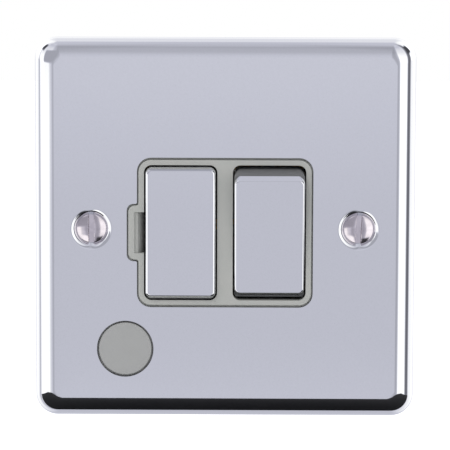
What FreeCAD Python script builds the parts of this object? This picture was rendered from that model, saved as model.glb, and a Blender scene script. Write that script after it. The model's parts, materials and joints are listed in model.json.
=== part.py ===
import FreeCAD, Part
import math
import os

import Sketcher
from FreeCAD import Placement, Rotation, Vector

# Fused spur unit for a single flush box, in millimetres.
# The wall is the plane Y = 0, the front faces -Y and up is +Z.
# The origin lies in the wall plane, midway between the two fixing screws.

SIZES = (
    # Pressed front plate
    ("plate_width", 86.0, "front plate, side to side"),
    ("plate_border", 26.55, "front plate above and below the bezel"),
    ("plate_depth", 6.5, "front plate, face to wall"),
    ("plate_sheet", 1.0, "steel sheet"),
    ("plate_corner", 5.0, "outer corner radius seen from the front"),
    ("plate_rim", 4.0, "radius of the rolled front edge"),
    # Screws that fix the plate to the box
    ("fixing_pitch", 60.3, "box lug centres"),
    ("fixing_radius", 1.75, "M3.5 shank"),
    ("fixing_reach", 22.0, "shank end behind the wall plane"),
    ("fixing_head", 3.5, "screw head radius"),
    ("fixing_dome", 0.75, "height of the raised head"),
    ("fixing_neck", 1.55, "radius of the plain neck under the head"),
    ("fixing_neck_end", 2.0, "neck end in front of the wall plane"),
    ("fixing_chamfer", 0.6, "chamfer at the screw's end"),
    ("fixing_slot", 1.2, "width of the driver slot"),
    ("fixing_slot_depth", 1.1, "depth of the driver slot"),
    ("dimple_mouth", 4.4, "radius of the pressed countersink at the face"),
    ("dimple_hole", 1.95, "radius of the clearance hole"),
    ("dimple_land", 0.6, "straight land below the countersink"),
    # Light grey insert that shows through the plate
    ("insert_drop", 0.8, "insert centre below the line of the fixing screws"),
    ("insert_width", 39.0, "bezel, side to side without its tab"),
    ("well_border", 1.15, "bezel above and below its two openings"),
    ("insert_corner", 2.8, "bezel corner radius"),
    ("insert_proud", 0.3, "bezel in front of the plate's face"),
    ("opening_gap", 0.35, "gap between bezel and plate"),
    ("insert_gap", 0.2, "clearance of recesses and holes round other pieces"),
    ("insert_edge", 0.25, "rounding of the bezel's front edge"),
    ("tab_reach", 2.3, "bezel tab beyond the bezel's left edge"),
    ("tab_height", 12.3, "bezel tab, bottom to top"),
    ("tab_corner", 1.5, "bezel tab corner radius"),
    ("tab_root", 0.6, "inside corner between the tab and the bezel"),
    ("notch_height", 9.3, "lever notch, bottom to top"),
    ("notch_margin", 1.3, "tab edge to the notch"),
    ("notch_depth", 3.4, "lever notch where it meets the carrier"),
    ("notch_lip", 0.35, "steep outer end of the lever notch, along X"),
    ("notch_start", 0.4, "lever notch depth behind that end"),
    ("well_width", 16.5, "carrier and rocker openings, side to side"),
    ("well_corner", 1.7, "corner radius of the openings"),
    ("centre_bar", 3.5, "bar between the two openings"),
    ("flange_edge", 0.2, "insert flange beyond the stud nuts"),
    ("flange_margin", 1.75, "insert flange above and below the bezel"),
    ("flange_thickness", 2.0, "insert flange"),
    ("block_wall_side", 1.45, "side wall of the wells"),
    ("block_wall_end", 1.0, "top and bottom wall of the wells"),
    ("joint_plane", 9.0, "where the rear housing meets the insert"),
    ("rear_flange", 1.6, "insert flange at the rear housing"),
    # Rear housing
    ("housing_lip_side", 1.9, "rear housing beyond the wells' block at the sides"),
    ("housing_lip_end", 1.0, "rear housing beyond the wells' block, top and bottom"),
    ("housing_corner", 1.5, "rear housing corner radius"),
    ("housing_back", 24.0, "outer face of the back wall"),
    ("housing_wall", 1.6, "side walls"),
    ("back_wall", 2.0, "back wall behind the terminals"),
    ("deck", 13.0, "plane that the contact strips lie on"),
    ("column_offset", 2.7, "assembly screw columns outside the wells' block"),
    ("column_inset", 2.1, "assembly screw columns inside the block's ends"),
    ("column_skin", 1.0, "closed front end of the columns"),
    ("column_radius", 2.5, "assembly screw columns"),
    ("column_front", 3.0, "front end of the insert's columns"),
    ("core_depth", 8.0, "lightening pockets in the back"),
    ("back_bays", 4.0, "number of lightening pockets"),
    ("assembly_screw", 1.25, "radius of the M2.5 screws behind the plate"),
    ("assembly_head", 2.2, "head radius of those screws"),
    ("assembly_head_height", 1.3, "head height of those screws"),
    # Flex outlet and cord clamp
    ("outlet_x", 22.5, "flex outlet left of the centre line"),
    ("outlet_share", 0.389, "flex outlet between the bezel and the plate's bottom edge"),
    ("outlet_hole", 6.15, "radius of the plate's outlet hole"),
    ("blank_gap", 0.12, "gap round the outlet blank"),
    ("blank_recess", 0.15, "blank behind the plate's face"),
    ("blank_flange", 7.4, "radius of the blank's flange"),
    ("blank_flange_thickness", 1.2, "blank's flange"),
    ("blank_edge", 0.3, "chamfer round the blank's face"),
    ("blank_skin", 1.0, "thickness of the blank's face"),
    ("web_left", 31.0, "outlet web left of the centre line"),
    ("web_right", 2.0, "outlet web right of the centre line"),
    ("web_margin", 0.6, "outlet web beyond the blank's recess"),
    ("clamp_x", 6.0, "cord clamp left of the centre line"),
    ("clamp_spacing", 5.8, "clamp screws above and below its centre"),
    ("clamp_boss", 2.2, "radius of the clamp's bosses"),
    ("clamp_seat", 3.0, "plane that the clamp bar seats on"),
    ("clamp_bar_thickness", 2.6, "clamp bar"),
    ("clamp_bar_width", 5.2, "clamp bar, side to side"),
    ("clamp_arch", 3.1, "radius of the arch in the clamp bar"),
    ("clamp_arch_rise", 1.4, "height of the arch above the seat"),
    # Studs, nuts and straps
    ("stud_room", 0.3, "nut clear of the strap's leg"),
    ("stud_inset", 4.7, "weld studs and straps inside the assembly screw columns"),
    ("stud_radius", 1.0, "M2 weld studs"),
    ("stud_length", 5.1, "weld studs behind the plate's sheet"),
    ("nut_flats", 4.0, "nut across its flats"),
    ("nut_thickness", 1.6, "nut"),
    ("strip", 0.6, "thickness of every contact strip, strap and washer"),
    ("strap_width", 5.0, "earth strap"),
    ("strap_gap", 0.3, "strap clear of the wells' block"),
    ("strap_foot", 6.2, "strap foot inside the housing"),
    # Terminals
    ("terminal_width", 6.4, "terminal block, side to side"),
    ("terminal_length", 9.5, "terminal block along the wire"),
    ("terminal_depth", 8.5, "terminal block, deck to back"),
    ("terminal_inset", 1.5, "terminal block's end inside the housing's end"),
    ("wire_bore", 2.2, "radius of the wire bore"),
    ("wire_bore_depth", 3.2, "deck to the wire bore's axis"),
    ("screw_radius", 1.75, "M3.5 terminal screw"),
    ("screw_head", 2.8, "terminal screw head radius"),
    ("screw_head_height", 1.7, "terminal screw head"),
    ("screw_lift", 0.5, "terminal screw backed off its block"),
    ("screw_fit", 0.05, "radial clearance of screws in their threads"),
    ("chamber_gap", 0.25, "terminal block to its chamber"),
    ("earth_inset", 0.4, "earth terminals inside the housing's side walls"),
    # Fuse and its carrier
    ("fuse_radius", 3.175, "cartridge fuse end caps"),
    ("fuse_length", 25.4, "cartridge fuse"),
    ("fuse_end_room", 0.9, "fuse to the carrier's end legs"),
    ("fuse_cap_length", 6.0, "end cap along the fuse"),
    ("fuse_cap_wall", 0.22, "end cap sheet"),
    ("fuse_depth", 8.4, "fuse axis behind the wall plane"),
    ("clip_sheet", 0.5, "fuse clip sheet"),
    ("clip_gap", 0.13, "clip arm to fuse cap"),
    ("clip_width", 5.0, "clip along the fuse"),
    ("clip_mouth", 4.0, "front end of the clip arms"),
    ("clip_flare", 0.6, "flare of the clip arms"),
    ("carrier_gap", 0.35, "carrier to its well"),
    ("carrier_proud", 1.4, "carrier cap in front of the bezel"),
    ("carrier_cap_depth", 2.8, "carrier cap, front to back"),
    ("carrier_flange", 2.0, "carrier flange behind its cap"),
    ("carrier_wall_back", 2.0, "rear edge of the carrier's side walls"),
    ("cap_sheet", 0.6, "chromed caps' wall"),
    ("cap_edge", 0.9, "rounded edge of the carrier cap"),
    ("carrier_leg", 1.35, "carrier end legs"),
    ("carrier_leg_back", 10.0, "rear end of the carrier legs"),
    ("saddle_gap", 0.8, "carrier saddle to the clips"),
    ("saddle_half_width", 4.6, "carrier saddle and legs, half width"),
    # Rocker
    ("rocker_tilt", 8.0, "rocker either side of level"),
    ("pivot_depth", 4.2, "rocker pivot behind the bezel's face"),
    ("rocker_gap", 0.33, "rocker to the sides of its opening"),
    ("rocker_end_gap", 0.5, "rocker to the ends of its opening"),
    ("rocker_face", 6.0, "cap face in front of the pivot"),
    ("rocker_shoulder", 4.35, "rocker body's shoulder in front of the pivot"),
    ("rocker_back", 1.5, "rocker body behind the pivot"),
    ("rocker_wall", 1.4, "rocker body walls"),
    ("cap_face_inset", 1.9, "flat of the rocker cap inside the rocker's ends"),
    ("cap_skirt_inset", 0.95, "skirt of the rocker cap inside the rocker's ends"),
    ("cap_round", 0.45, "rounded edges of the rocker cap"),
    ("cap_fit", 0.05, "cap to the moulding inside it"),
    ("trunnion_radius", 1.5, "rocker trunnions"),
    ("trunnion_reach", 1.05, "trunnions beyond the rocker's sides"),
    ("trunnion_fit", 0.05, "radial clearance of the trunnions"),
    ("trunnion_slot", 0.95, "depth of the trunnion slots"),
    ("pole_spacing", 4.6, "switch poles either side of the rocker's centre"),
    ("guide_radius", 2.6, "plunger guides outside"),
    ("guide_end", 7.5, "plunger guides behind the pivot"),
    ("plunger_radius", 1.65, "plungers"),
    ("plunger_fit", 0.1, "radial clearance of the plungers"),
    ("plunger_back", 10.75, "plunger tip behind the pivot"),
    ("plunger_dome", 1.0, "rounded end of the plungers"),
    ("plunger_front", 3.0, "plunger's spring end behind the pivot"),
    ("spring_wire", 0.25, "radius of the spring wire"),
    ("spring_coil", 1.3, "mean radius of the spring"),
    ("spring_pitch", 0.65, "pitch of the spring"),
    # Rocking contacts
    ("arm_pivot", 9.3, "arm pivot behind the wall plane"),
    ("arm_tilt", 10.0, "arm either side of level"),
    ("arm_sheet", 1.0, "arm thickness"),
    ("arm_half_width", 2.2, "arms and contact strips, half width"),
    ("arm_long_end", 8.9, "arm from its pivot to the contact's end"),
    ("arm_short_end", 8.3, "arm from its pivot to the free end"),
    ("arm_notch", 0.3, "radius of the arm's pivot notch"),
    ("knife_gap", 0.05, "support edge behind the arm's pivot"),
    ("knife_neck", 0.5, "support's half width near its edge"),
    ("knife_foot", 1.2, "support's half width at its foot"),
    ("link_width", 2.4, "contact links, bottom to top"),
    ("tip_radius", 1.5, "contact tips"),
    ("tip_height", 0.8, "contact tip on the arm"),
    ("tip_station", 7.4, "contact tip from the arm's pivot"),
    ("tip_dome", 0.4, "domed part of the contact tip"),
    ("contact_gap", 0.13, "closed contact tips"),
)

doc = FreeCAD.newDocument("fused_spur_unit")
sheet = doc.addObject("Spreadsheet::Sheet", "Sizes")


class Size:
    """A length or an angle: its formula in the sheet's names, and its value."""

    def __init__(self, formula, value):
        self.formula = formula
        self.value = value

    def __add__(self, other):
        other = as_size(other)
        return Size(f"({self.formula} + {other.formula})", self.value + other.value)

    def __sub__(self, other):
        other = as_size(other)
        return Size(f"({self.formula} - {other.formula})", self.value - other.value)

    def __mul__(self, other):
        other = as_size(other)
        return Size(f"({self.formula} * {other.formula})", self.value * other.value)

    def __truediv__(self, other):
        other = as_size(other)
        return Size(f"({self.formula} / {other.formula})", self.value / other.value)

    def __neg__(self):
        return Size(f"(0 - {self.formula})", -self.value)

    def __rsub__(self, other):
        return as_size(other) - self

    __radd__ = __add__
    __rmul__ = __mul__


def sine(angle):
    return Size(f"sin({angle.formula})", math.sin(math.radians(angle.value)))


def cosine(angle):
    return Size(f"cos({angle.formula})", math.cos(math.radians(angle.value)))


def as_size(number):
    return number if isinstance(number, Size) else Size(f"({number})", float(number))


class Named:
    """The driving sizes by name."""


size = Named()
for row, (name, value, meaning) in enumerate(SIZES, start=1):
    sheet.set(f"A{row}", meaning)
    sheet.set(f"B{row}", str(value))
    sheet.setAlias(f"B{row}", name)
    setattr(size, name, Size(f"Sizes.{name}", value))
doc.recompute()

parts = {}

# How far a cutting outline runs past the material, in mm
PAST = 1.0

# Places along a dome's radius, or down the lever notch, where the outline has a corner
DOME_SHARES = (0.0, 0.3, 0.55, 0.75, 0.9, 1.0)


def bind(item, prop, amount):
    item.setExpression(prop, as_size(amount).formula)


def keep(node, item):
    """Registers a finished sub-part under its own name."""
    item.Label = node
    parts[node] = item
    return item


# Sketches

PLANES = {"front": "XZ_Plane", "side": "YZ_Plane", "level": "XY_Plane"}
NORMALS = {"front": -1, "side": 1, "level": 1}


def new_body(node):
    body = doc.addObject("PartDesign::Body", node)
    return keep(node, body)


def sketch_on(body, name, view, along=0, origin=(0, 0)):
    """A sketch seen from the front (X, Z), the side (Y, Z) or above (X, Y), and a place along its normal."""
    plane = next(p for p in body.Origin.OriginFeatures if p.Role == PLANES[view])
    sketch = body.newObject("Sketcher::SketchObject", name)
    sketch.AttachmentSupport = (plane, [""])
    sketch.MapMode = "FlatFace"
    bind(sketch, "AttachmentOffset.Base.x", origin[0])
    bind(sketch, "AttachmentOffset.Base.y", origin[1])
    bind(sketch, "AttachmentOffset.Base.z", as_size(along) * NORMALS[view])
    return sketch


def dimension(sketch, kind, element, point, amount):
    amount = as_size(amount)
    if kind == "Radius":
        rule = Sketcher.Constraint(kind, element, amount.value)
    else:
        rule = Sketcher.Constraint(kind, -1, 1, element, point, amount.value)
    sketch.setExpression(f"Constraints[{sketch.addConstraint(rule)}]", amount.formula)


def polygon(sketch, corners):
    """A closed outline with straight sides, each corner placed from the sketch's origin."""
    corners = [(as_size(a), as_size(b)) for a, b in corners]
    points = [Vector(a.value, b.value, 0) for a, b in corners]
    first = sketch.GeometryCount
    count = len(points)
    for i in range(count):
        sketch.addGeometry(Part.LineSegment(points[i], points[(i + 1) % count]), False)
    for i in range(count):
        after = first + (i + 1) % count
        sketch.addConstraint(Sketcher.Constraint("Coincident", first + i, 2, after, 1))
    for i, (a, b) in enumerate(corners):
        dimension(sketch, "DistanceX", first + i, 1, a)
        dimension(sketch, "DistanceY", first + i, 1, b)


def rectangle(sketch, left, right, low, high):
    polygon(sketch, [(left, low), (right, low), (right, high), (left, high)])


def circle(sketch, across, up, radius):
    place = Vector(as_size(across).value, as_size(up).value, 0)
    round_edge = Part.Circle(place, Vector(0, 0, 1), as_size(radius).value)
    index = sketch.addGeometry(round_edge, False)
    dimension(sketch, "Radius", index, 0, radius)
    dimension(sketch, "DistanceX", index, 3, across)
    dimension(sketch, "DistanceY", index, 3, up)


def rounded(sketch, left, right, low, high, radius):
    """A rectangle with equal round corners, placed by its four sides."""
    left, right, low, high, radius = map(as_size, (left, right, low, high, radius))
    x0, x1, z0, z1, r = (v.value for v in (left, right, low, high, radius))
    first = sketch.GeometryCount
    ends = (
        ((x0 + r, z0), (x1 - r, z0)),
        ((x1, z0 + r), (x1, z1 - r)),
        ((x1 - r, z1), (x0 + r, z1)),
        ((x0, z1 - r), (x0, z0 + r)),
    )
    for a, b in ends:
        sketch.addGeometry(Part.LineSegment(Vector(*a, 0), Vector(*b, 0)), False)
    centres = ((x1 - r, z0 + r), (x1 - r, z1 - r), (x0 + r, z1 - r), (x0 + r, z0 + r))
    for i, centre in enumerate(centres):
        start = math.radians(90 * i - 90)
        ring = Part.Circle(Vector(*centre, 0), Vector(0, 0, 1), r)
        arc = Part.ArcOfCircle(ring, start, start + math.pi / 2)
        sketch.addGeometry(arc, False)
    for i in range(4):
        line, arc, after = first + i, first + 4 + i, first + (i + 1) % 4
        sketch.addConstraint(Sketcher.Constraint("Tangent", line, 2, arc, 1))
        sketch.addConstraint(Sketcher.Constraint("Tangent", arc, 2, after, 1))
        turn = "Vertical" if i % 2 else "Horizontal"
        sketch.addConstraint(Sketcher.Constraint(turn, line))
    for i in range(5, 8):
        sketch.addConstraint(Sketcher.Constraint("Equal", first + 4, first + i))
    dimension(sketch, "Radius", first + 4, 0, radius)
    dimension(sketch, "DistanceY", first, 1, low)
    dimension(sketch, "DistanceX", first + 1, 1, right)
    dimension(sketch, "DistanceY", first + 2, 1, high)
    dimension(sketch, "DistanceX", first + 3, 1, left)


def dome(radius, height, top, forward=-1):
    """Outline corners from a dome's axis to its rim; forward is -1 when it bulges towards -Y."""
    return [
        (radius * share, top - height * forward * (share * share))
        for share in DOME_SHARES
    ]


# Features

def refresh(*items):
    """Brings these objects up to date, in this order."""
    for item in items:
        item.recompute()


def solid_volume(body):
    return 0.0 if body.Shape.isNull() else body.Shape.Volume


def add_feature(body, kind, name, sketch, settle):
    """Makes a feature, and makes sure that it added or removed material."""
    before = solid_volume(body)
    feature = body.newObject(f"PartDesign::{kind}", name)
    feature.Profile = sketch
    settle(feature)
    refresh(sketch, feature, body)
    gained = solid_volume(body) - before
    removes = kind in ("Pocket", "Groove")
    if feature.State and "Invalid" in feature.State or (gained < 0) != removes or not gained:
        raise RuntimeError(f"{body.Label}: {name} changed the solid by {gained:.3f} mm3")
    return feature


def pad(body, name, sketch, length, backwards=False, both=False):
    def settle(feature):
        bind(feature, "Length", length)
        feature.Reversed = backwards
        feature.Midplane = both

    return add_feature(body, "Pad", name, sketch, settle)


def pocket(body, name, sketch, length, backwards=False, both=False):
    def settle(feature):
        bind(feature, "Length", length)
        feature.Reversed = backwards
        feature.Midplane = both

    return add_feature(body, "Pocket", name, sketch, settle)


def turned(body, name, sketch, kind="Revolution"):
    """A full turn about the sketch's own upright axis."""
    def settle(feature):
        feature.ReferenceAxis = (sketch, ["V_Axis"])
        feature.Angle = 360.0

    return add_feature(body, kind, name, sketch, settle)


def front_pad(body, name, y_front, y_back, draw):
    """Material between two planes parallel to the wall; draw() draws it as seen from the front."""
    sketch = sketch_on(body, f"{name}_sketch", "front", y_front)
    draw(sketch)
    return pad(body, name, sketch, as_size(y_back) - y_front, backwards=True)


def front_pocket(body, name, y_front, y_back, draw):
    """A recess between two planes parallel to the wall."""
    sketch = sketch_on(body, f"{name}_sketch", "front", y_front)
    draw(sketch)
    return pocket(body, name, sketch, as_size(y_back) - y_front)


def edges_where(shape, test):
    return [f"Edge{i}" for i, edge in enumerate(shape.Edges, start=1) if test(edge)]


def in_plane(edge, axis, place):
    box = edge.BoundBox
    low, high = getattr(box, axis + "Min"), getattr(box, axis + "Max")
    return abs(low - place) < 1e-4 and abs(high - place) < 1e-4


def rounded_edges(body, name, radius, test, kind="Fillet"):
    base = body.Tip
    names = edges_where(base.Shape, test)
    feature = body.newObject(f"PartDesign::{kind}", name)
    feature.Base = (base, names)
    bind(feature, "Radius" if kind == "Fillet" else "Size", radius)
    refresh(feature, body)
    if "Invalid" in feature.State:
        raise RuntimeError(f"{body.Label}: {name} failed on {names}")
    return feature


# Part primitives for the plain stampings, pins and nuts

def block(name, x, y, z):
    """A box between two places along each axis."""
    item = doc.addObject("Part::Box", name)
    for prop, axis, (low, high) in zip(("Length", "Width", "Height"), "xyz", (x, y, z)):
        bind(item, prop, as_size(high) - low)
        bind(item, f"Placement.Base.{axis}", low)
    return item


def rod(name, axis, across, start, end, radius):
    """A round bar along an axis; across gives its place on the other two axes in order."""
    item = doc.addObject("Part::Cylinder", name)
    bind(item, "Radius", radius)
    bind(item, "Height", as_size(end) - start)
    turns = {
        "x": (Rotation(Vector(0, 1, 0), 90), "xyz"),
        "y": (Rotation(Vector(1, 0, 0), -90), "yxz"),
        "z": (Rotation(), "zxy"),
    }
    rotation, order = turns[axis]
    item.Placement = Placement(Vector(), rotation)
    for letter, place in zip(order, (start, *across)):
        bind(item, f"Placement.Base.{letter}", place)
    return item


def joined(name, items):
    item = doc.addObject("Part::MultiFuse", name)
    item.Shapes = items
    item.Refine = True
    return item


def cut(name, base, tool):
    item = doc.addObject("Part::Cut", name)
    item.Base = base
    item.Tool = tool
    return item


def group(name, items):
    item = doc.addObject("Part::Compound", name)
    item.Links = items
    return item


# Places that several pieces share

face = -size.plate_depth
sheet_back = face + size.plate_sheet
centre_z = -size.insert_drop
well_height = size.fuse_length + (size.fuse_end_room + size.carrier_leg + size.carrier_gap) * 2
insert_height = well_height + size.well_border * 2
bezel_face = face - size.insert_proud
flange_back = sheet_back + size.flange_thickness
well_inner = size.centre_bar / 2
well_outer = well_inner + size.well_width
carrier_x = -(well_inner + size.well_width / 2)
rocker_x = well_inner + size.well_width / 2
block_half_width = well_outer + size.block_wall_side
block_half_height = well_height / 2 + size.block_wall_end
flange_half_height = insert_height / 2 + size.flange_margin
housing_half_width = block_half_width + size.housing_lip_side
housing_half_height = block_half_height + size.housing_lip_end
column_x = block_half_width + size.column_offset
column_z = block_half_height - size.column_inset
stud_z = column_z - size.stud_inset
strap_leg = block_half_width + size.strap_gap
stud_x = strap_leg + size.strip + size.stud_room + size.nut_flats / 2
flange_half_width = stud_x + size.nut_flats / 2 + size.flange_edge
clip_station = (size.fuse_length - size.fuse_cap_length) / 2
saddle_half_height = clip_station - size.clip_width / 2 - size.saddle_gap
pivot_y = bezel_face + size.pivot_depth
rocker_radius = well_height / 2 - size.rocker_end_gap
cap_face_half = rocker_radius - size.cap_face_inset
cap_skirt_half = rocker_radius - size.cap_skirt_inset
strip_front = size.deck - size.strip
line_x = rocker_x - size.pole_spacing
neutral_x = rocker_x + size.pole_spacing
terminal_back = size.deck + size.terminal_depth
terminal_top = housing_half_height - size.terminal_inset
terminal_foot = terminal_top - size.terminal_length
wire_y = size.deck + size.wire_bore_depth
earth_x = housing_half_width - size.housing_wall - size.earth_inset - size.terminal_width / 2
plate_half_height = insert_height / 2 + size.plate_border
bezel_bottom = insert_height / 2 + size.insert_drop
outlet_x = -size.outlet_x
outlet_z = -(bezel_bottom + (plate_half_height - bezel_bottom) * size.outlet_share)
blank_pocket = size.blank_flange + size.insert_gap
web_bottom = outlet_z - blank_pocket - size.web_margin
clamp_z = outlet_z
corners = [(sx, sz) for sx in (-1, 1) for sz in (-1, 1)]

# Each terminal: its place across, and +1 above or -1 below the insert's centre
TERMINALS = {
    "earth_supply_terminal": (-earth_x, 1),
    "line_supply_terminal": (line_x, 1),
    "neutral_supply_terminal": (neutral_x, 1),
    "line_load_terminal": (carrier_x, -1),
    "neutral_load_terminal": (line_x, -1),
    "earth_load_terminal": (earth_x, -1),
}


def mirrored_span(low, high, side):
    """A span above the insert's centre, or its mirror below it."""
    if side > 0:
        return centre_z + low, centre_z + high
    return centre_z - high, centre_z - low


def round_tab_roots(body, radius, wide, tall):
    """Rounds the two corners where the tab's outline leaves the bezel's left edge."""
    def at_root(edge):
        box = edge.BoundBox
        upright = box.XLength < 1e-4 and box.ZLength < 1e-4
        across = abs(box.XMin + wide.value)
        up = abs(abs(box.ZMin - centre_z.value) - tall.value)
        return upright and across < 1e-3 and up < 1e-3

    rounded_edges(body, "tab_roots", radius, at_root)


def build_front_plate():
    body = new_body("front_plate")
    half_width, half_height = size.plate_width / 2, plate_half_height
    front_pad(
        body,
        "plate_blank",
        face,
        0,
        lambda s: rounded(
            s, -half_width, half_width, -half_height, half_height, size.plate_corner
        ),
    )
    rounded_edges(
        body, "rolled_rim", size.plate_rim, lambda e: in_plane(e, "Y", face.value)
    )
    solid = body.Tip
    faces = solid.Shape.Faces
    rear = max(range(len(faces)), key=lambda i: faces[i].CenterOfMass.y)
    shell = body.newObject("PartDesign::Thickness", "pressed_sheet")
    shell.Base = (solid, [f"Face{rear + 1}"])
    bind(shell, "Value", size.plate_sheet)
    shell.Reversed = True
    shell.Mode = "Skin"
    shell.Join = "Arc"
    refresh(shell, body)

    cone_spread = size.plate_sheet * math.sqrt(2)
    hole_front = face + size.dimple_mouth - size.dimple_hole
    land_end = hole_front + size.dimple_land
    rear_rim = size.dimple_mouth - size.plate_sheet + cone_spread
    rear_foot = rear_rim - (land_end - sheet_back)
    for side, name in ((-1, "left"), (1, "right")):
        place = (size.fixing_pitch / 2 * side, 0)
        dish = sketch_on(body, f"dimple_{name}_sketch", "level", 0, place)
        polygon(
            dish,
            [
                (0, face),
                (rear_rim, face),
                (rear_rim, sheet_back),
                (rear_foot, land_end),
                (0, land_end),
            ],
        )
        turned(body, f"dimple_{name}", dish)
    for side, name in ((-1, "left"), (1, "right")):
        place = (size.fixing_pitch / 2 * side, 0)
        sink = sketch_on(body, f"countersink_{name}_sketch", "level", 0, place)
        polygon(
            sink,
            [
                (0, face - PAST),
                (size.dimple_mouth + PAST, face - PAST),
                (size.dimple_hole, hole_front),
                (size.dimple_hole, land_end + PAST),
                (0, land_end + PAST),
            ],
        )
        turned(body, f"countersink_{name}", sink, "Groove")

    wide = size.insert_width / 2 + size.opening_gap
    tall = insert_height / 2 + size.opening_gap
    front_pocket(
        body,
        "insert_opening",
        face,
        sheet_back,
        lambda s: rounded(
            s,
            -wide,
            wide,
            centre_z - tall,
            centre_z + tall,
            size.insert_corner + size.opening_gap,
        ),
    )
    tab_tall = size.tab_height / 2 + size.opening_gap
    front_pocket(
        body,
        "tab_opening",
        face,
        sheet_back,
        lambda s: rounded(
            s,
            -wide - size.tab_reach,
            -wide + size.tab_corner * 3,
            centre_z - tab_tall,
            centre_z + tab_tall,
            size.tab_corner,
        ),
    )
    round_tab_roots(body, size.tab_root - size.opening_gap, wide, tab_tall)
    front_pocket(
        body,
        "outlet_opening",
        face,
        sheet_back,
        lambda s: circle(s, outlet_x, outlet_z, size.outlet_hole),
    )


def build_insert():
    body = new_body("insert_moulding")
    wide, tall = size.insert_width / 2, insert_height / 2
    low, high = centre_z - tall, centre_z + tall
    front_pad(
        body,
        "bezel",
        bezel_face,
        flange_back,
        lambda s: rounded(s, -wide, wide, low, high, size.insert_corner),
    )
    front_pad(
        body,
        "bezel_tab",
        bezel_face,
        flange_back,
        lambda s: rounded(
            s,
            -wide - size.tab_reach,
            -wide + size.tab_corner * 3,
            centre_z - size.tab_height / 2,
            centre_z + size.tab_height / 2,
            size.tab_corner,
        ),
    )
    round_tab_roots(body, size.tab_root, wide, size.tab_height / 2)
    rounded_edges(
        body, "bezel_edge", size.insert_edge, lambda e: in_plane(e, "Y", bezel_face.value)
    )
    front_pad(
        body,
        "front_flange",
        sheet_back,
        flange_back,
        lambda s: rounded(
            s,
            -flange_half_width,
            flange_half_width,
            centre_z - flange_half_height,
            centre_z + flange_half_height,
            size.insert_corner,
        ),
    )
    front_pad(
        body,
        "outlet_web",
        sheet_back,
        flange_back,
        lambda s: rounded(
            s,
            -size.web_left,
            size.web_right,
            web_bottom,
            centre_z - block_half_height,
            size.insert_corner,
        ),
    )
    front_pad(
        body,
        "well_block",
        flange_back,
        size.joint_plane,
        lambda s: rounded(
            s,
            -block_half_width,
            block_half_width,
            centre_z - block_half_height,
            centre_z + block_half_height,
            size.well_corner,
        ),
    )
    front_pad(
        body,
        "joint_flange",
        size.joint_plane - size.rear_flange,
        size.joint_plane,
        lambda s: rounded(
            s,
            -housing_half_width,
            housing_half_width,
            centre_z - housing_half_height,
            centre_z + housing_half_height,
            size.housing_corner,
        ),
    )

    def columns(sketch):
        for sx, sz in corners:
            circle(
                sketch,
                column_x * sx,
                centre_z + column_z * sz,
                size.column_radius,
            )

    def gussets(sketch):
        rib = size.housing_wall / 2
        for sx, sz in corners:
            x0, x1 = sorted(
                (block_half_width * sx, column_x * sx), key=lambda v: v.value
            )
            z = centre_z + column_z * sz
            rectangle(sketch, x0, x1, z - rib, z + rib)

    front_pad(body, "columns", size.column_front, size.joint_plane, columns)
    front_pad(body, "gussets", size.column_front, size.joint_plane, gussets)

    def bosses(sketch, radius):
        for side in (-1, 1):
            up = clamp_z + size.clamp_spacing * side
            circle(sketch, -size.clamp_x, up, radius)

    front_pad(
        body,
        "clamp_bosses",
        flange_back,
        size.clamp_seat,
        lambda s: bosses(s, size.clamp_boss),
    )

    for name, x0, x1 in (
        ("carrier_well", -well_outer, -well_inner),
        ("rocker_well", well_inner, well_outer),
    ):
        front_pocket(
            body,
            name,
            bezel_face,
            size.joint_plane,
            lambda s, a=x0, b=x1: rounded(
                s,
                a,
                b,
                centre_z - well_height / 2,
                centre_z + well_height / 2,
                size.well_corner,
            ),
        )

    ramp = sketch_on(body, "lever_notch_sketch", "level", centre_z)
    notch_left = -wide - size.tab_reach + size.notch_margin
    notch_right = -well_outer + PAST
    fall_left = notch_left + size.notch_lip
    fall = [
        (
            fall_left + (-well_outer - fall_left) * share,
            bezel_face + size.notch_start + (size.notch_depth - size.notch_start) * share**2,
        )
        for share in reversed(DOME_SHARES)
    ]
    polygon(
        ramp,
        [
            (notch_left, bezel_face - PAST),
            (notch_right, bezel_face - PAST),
            (notch_right, bezel_face + size.notch_depth),
        ]
        + fall
        + [(notch_left, bezel_face)],
    )
    pocket(body, "lever_notch", ramp, size.notch_height, both=True)

    slot_half = size.trunnion_radius + size.trunnion_fit
    slots = sketch_on(body, "trunnion_slot_sketch", "side", rocker_x)
    rectangle(
        slots, pivot_y, size.joint_plane + PAST, centre_z - slot_half, centre_z + slot_half
    )
    seats = sketch_on(body, "trunnion_seat_sketch", "side", rocker_x)
    circle(seats, pivot_y, centre_z, slot_half)
    reach = size.well_width + size.trunnion_slot * 2
    pocket(body, "trunnion_slots", slots, reach, both=True)
    pocket(body, "trunnion_seats", seats, reach, both=True)

    front_pocket(
        body,
        "outlet_way",
        sheet_back,
        flange_back,
        lambda s: circle(s, outlet_x, outlet_z, size.outlet_hole - size.blank_skin / 2),
    )
    front_pocket(
        body,
        "blank_recess",
        sheet_back,
        sheet_back + size.blank_flange_thickness,
        lambda s: circle(s, outlet_x, outlet_z, blank_pocket),
    )

    def stud_holes(sketch):
        for sx, sz in corners:
            circle(
                sketch,
                stud_x * sx,
                centre_z + stud_z * sz,
                size.stud_radius + size.insert_gap,
            )

    front_pocket(body, "stud_holes", sheet_back, flange_back, stud_holes)

    def pilot_holes(sketch):
        for sx, sz in corners:
            circle(
                sketch,
                column_x * sx,
                centre_z + column_z * sz,
                size.assembly_screw + size.screw_fit,
            )

    front_pocket(
        body, "column_holes", size.column_front + size.column_skin, size.joint_plane, pilot_holes
    )
    front_pocket(
        body,
        "boss_holes",
        flange_back,
        size.clamp_seat,
        lambda s: bosses(s, size.assembly_screw + size.screw_fit),
    )

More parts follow.
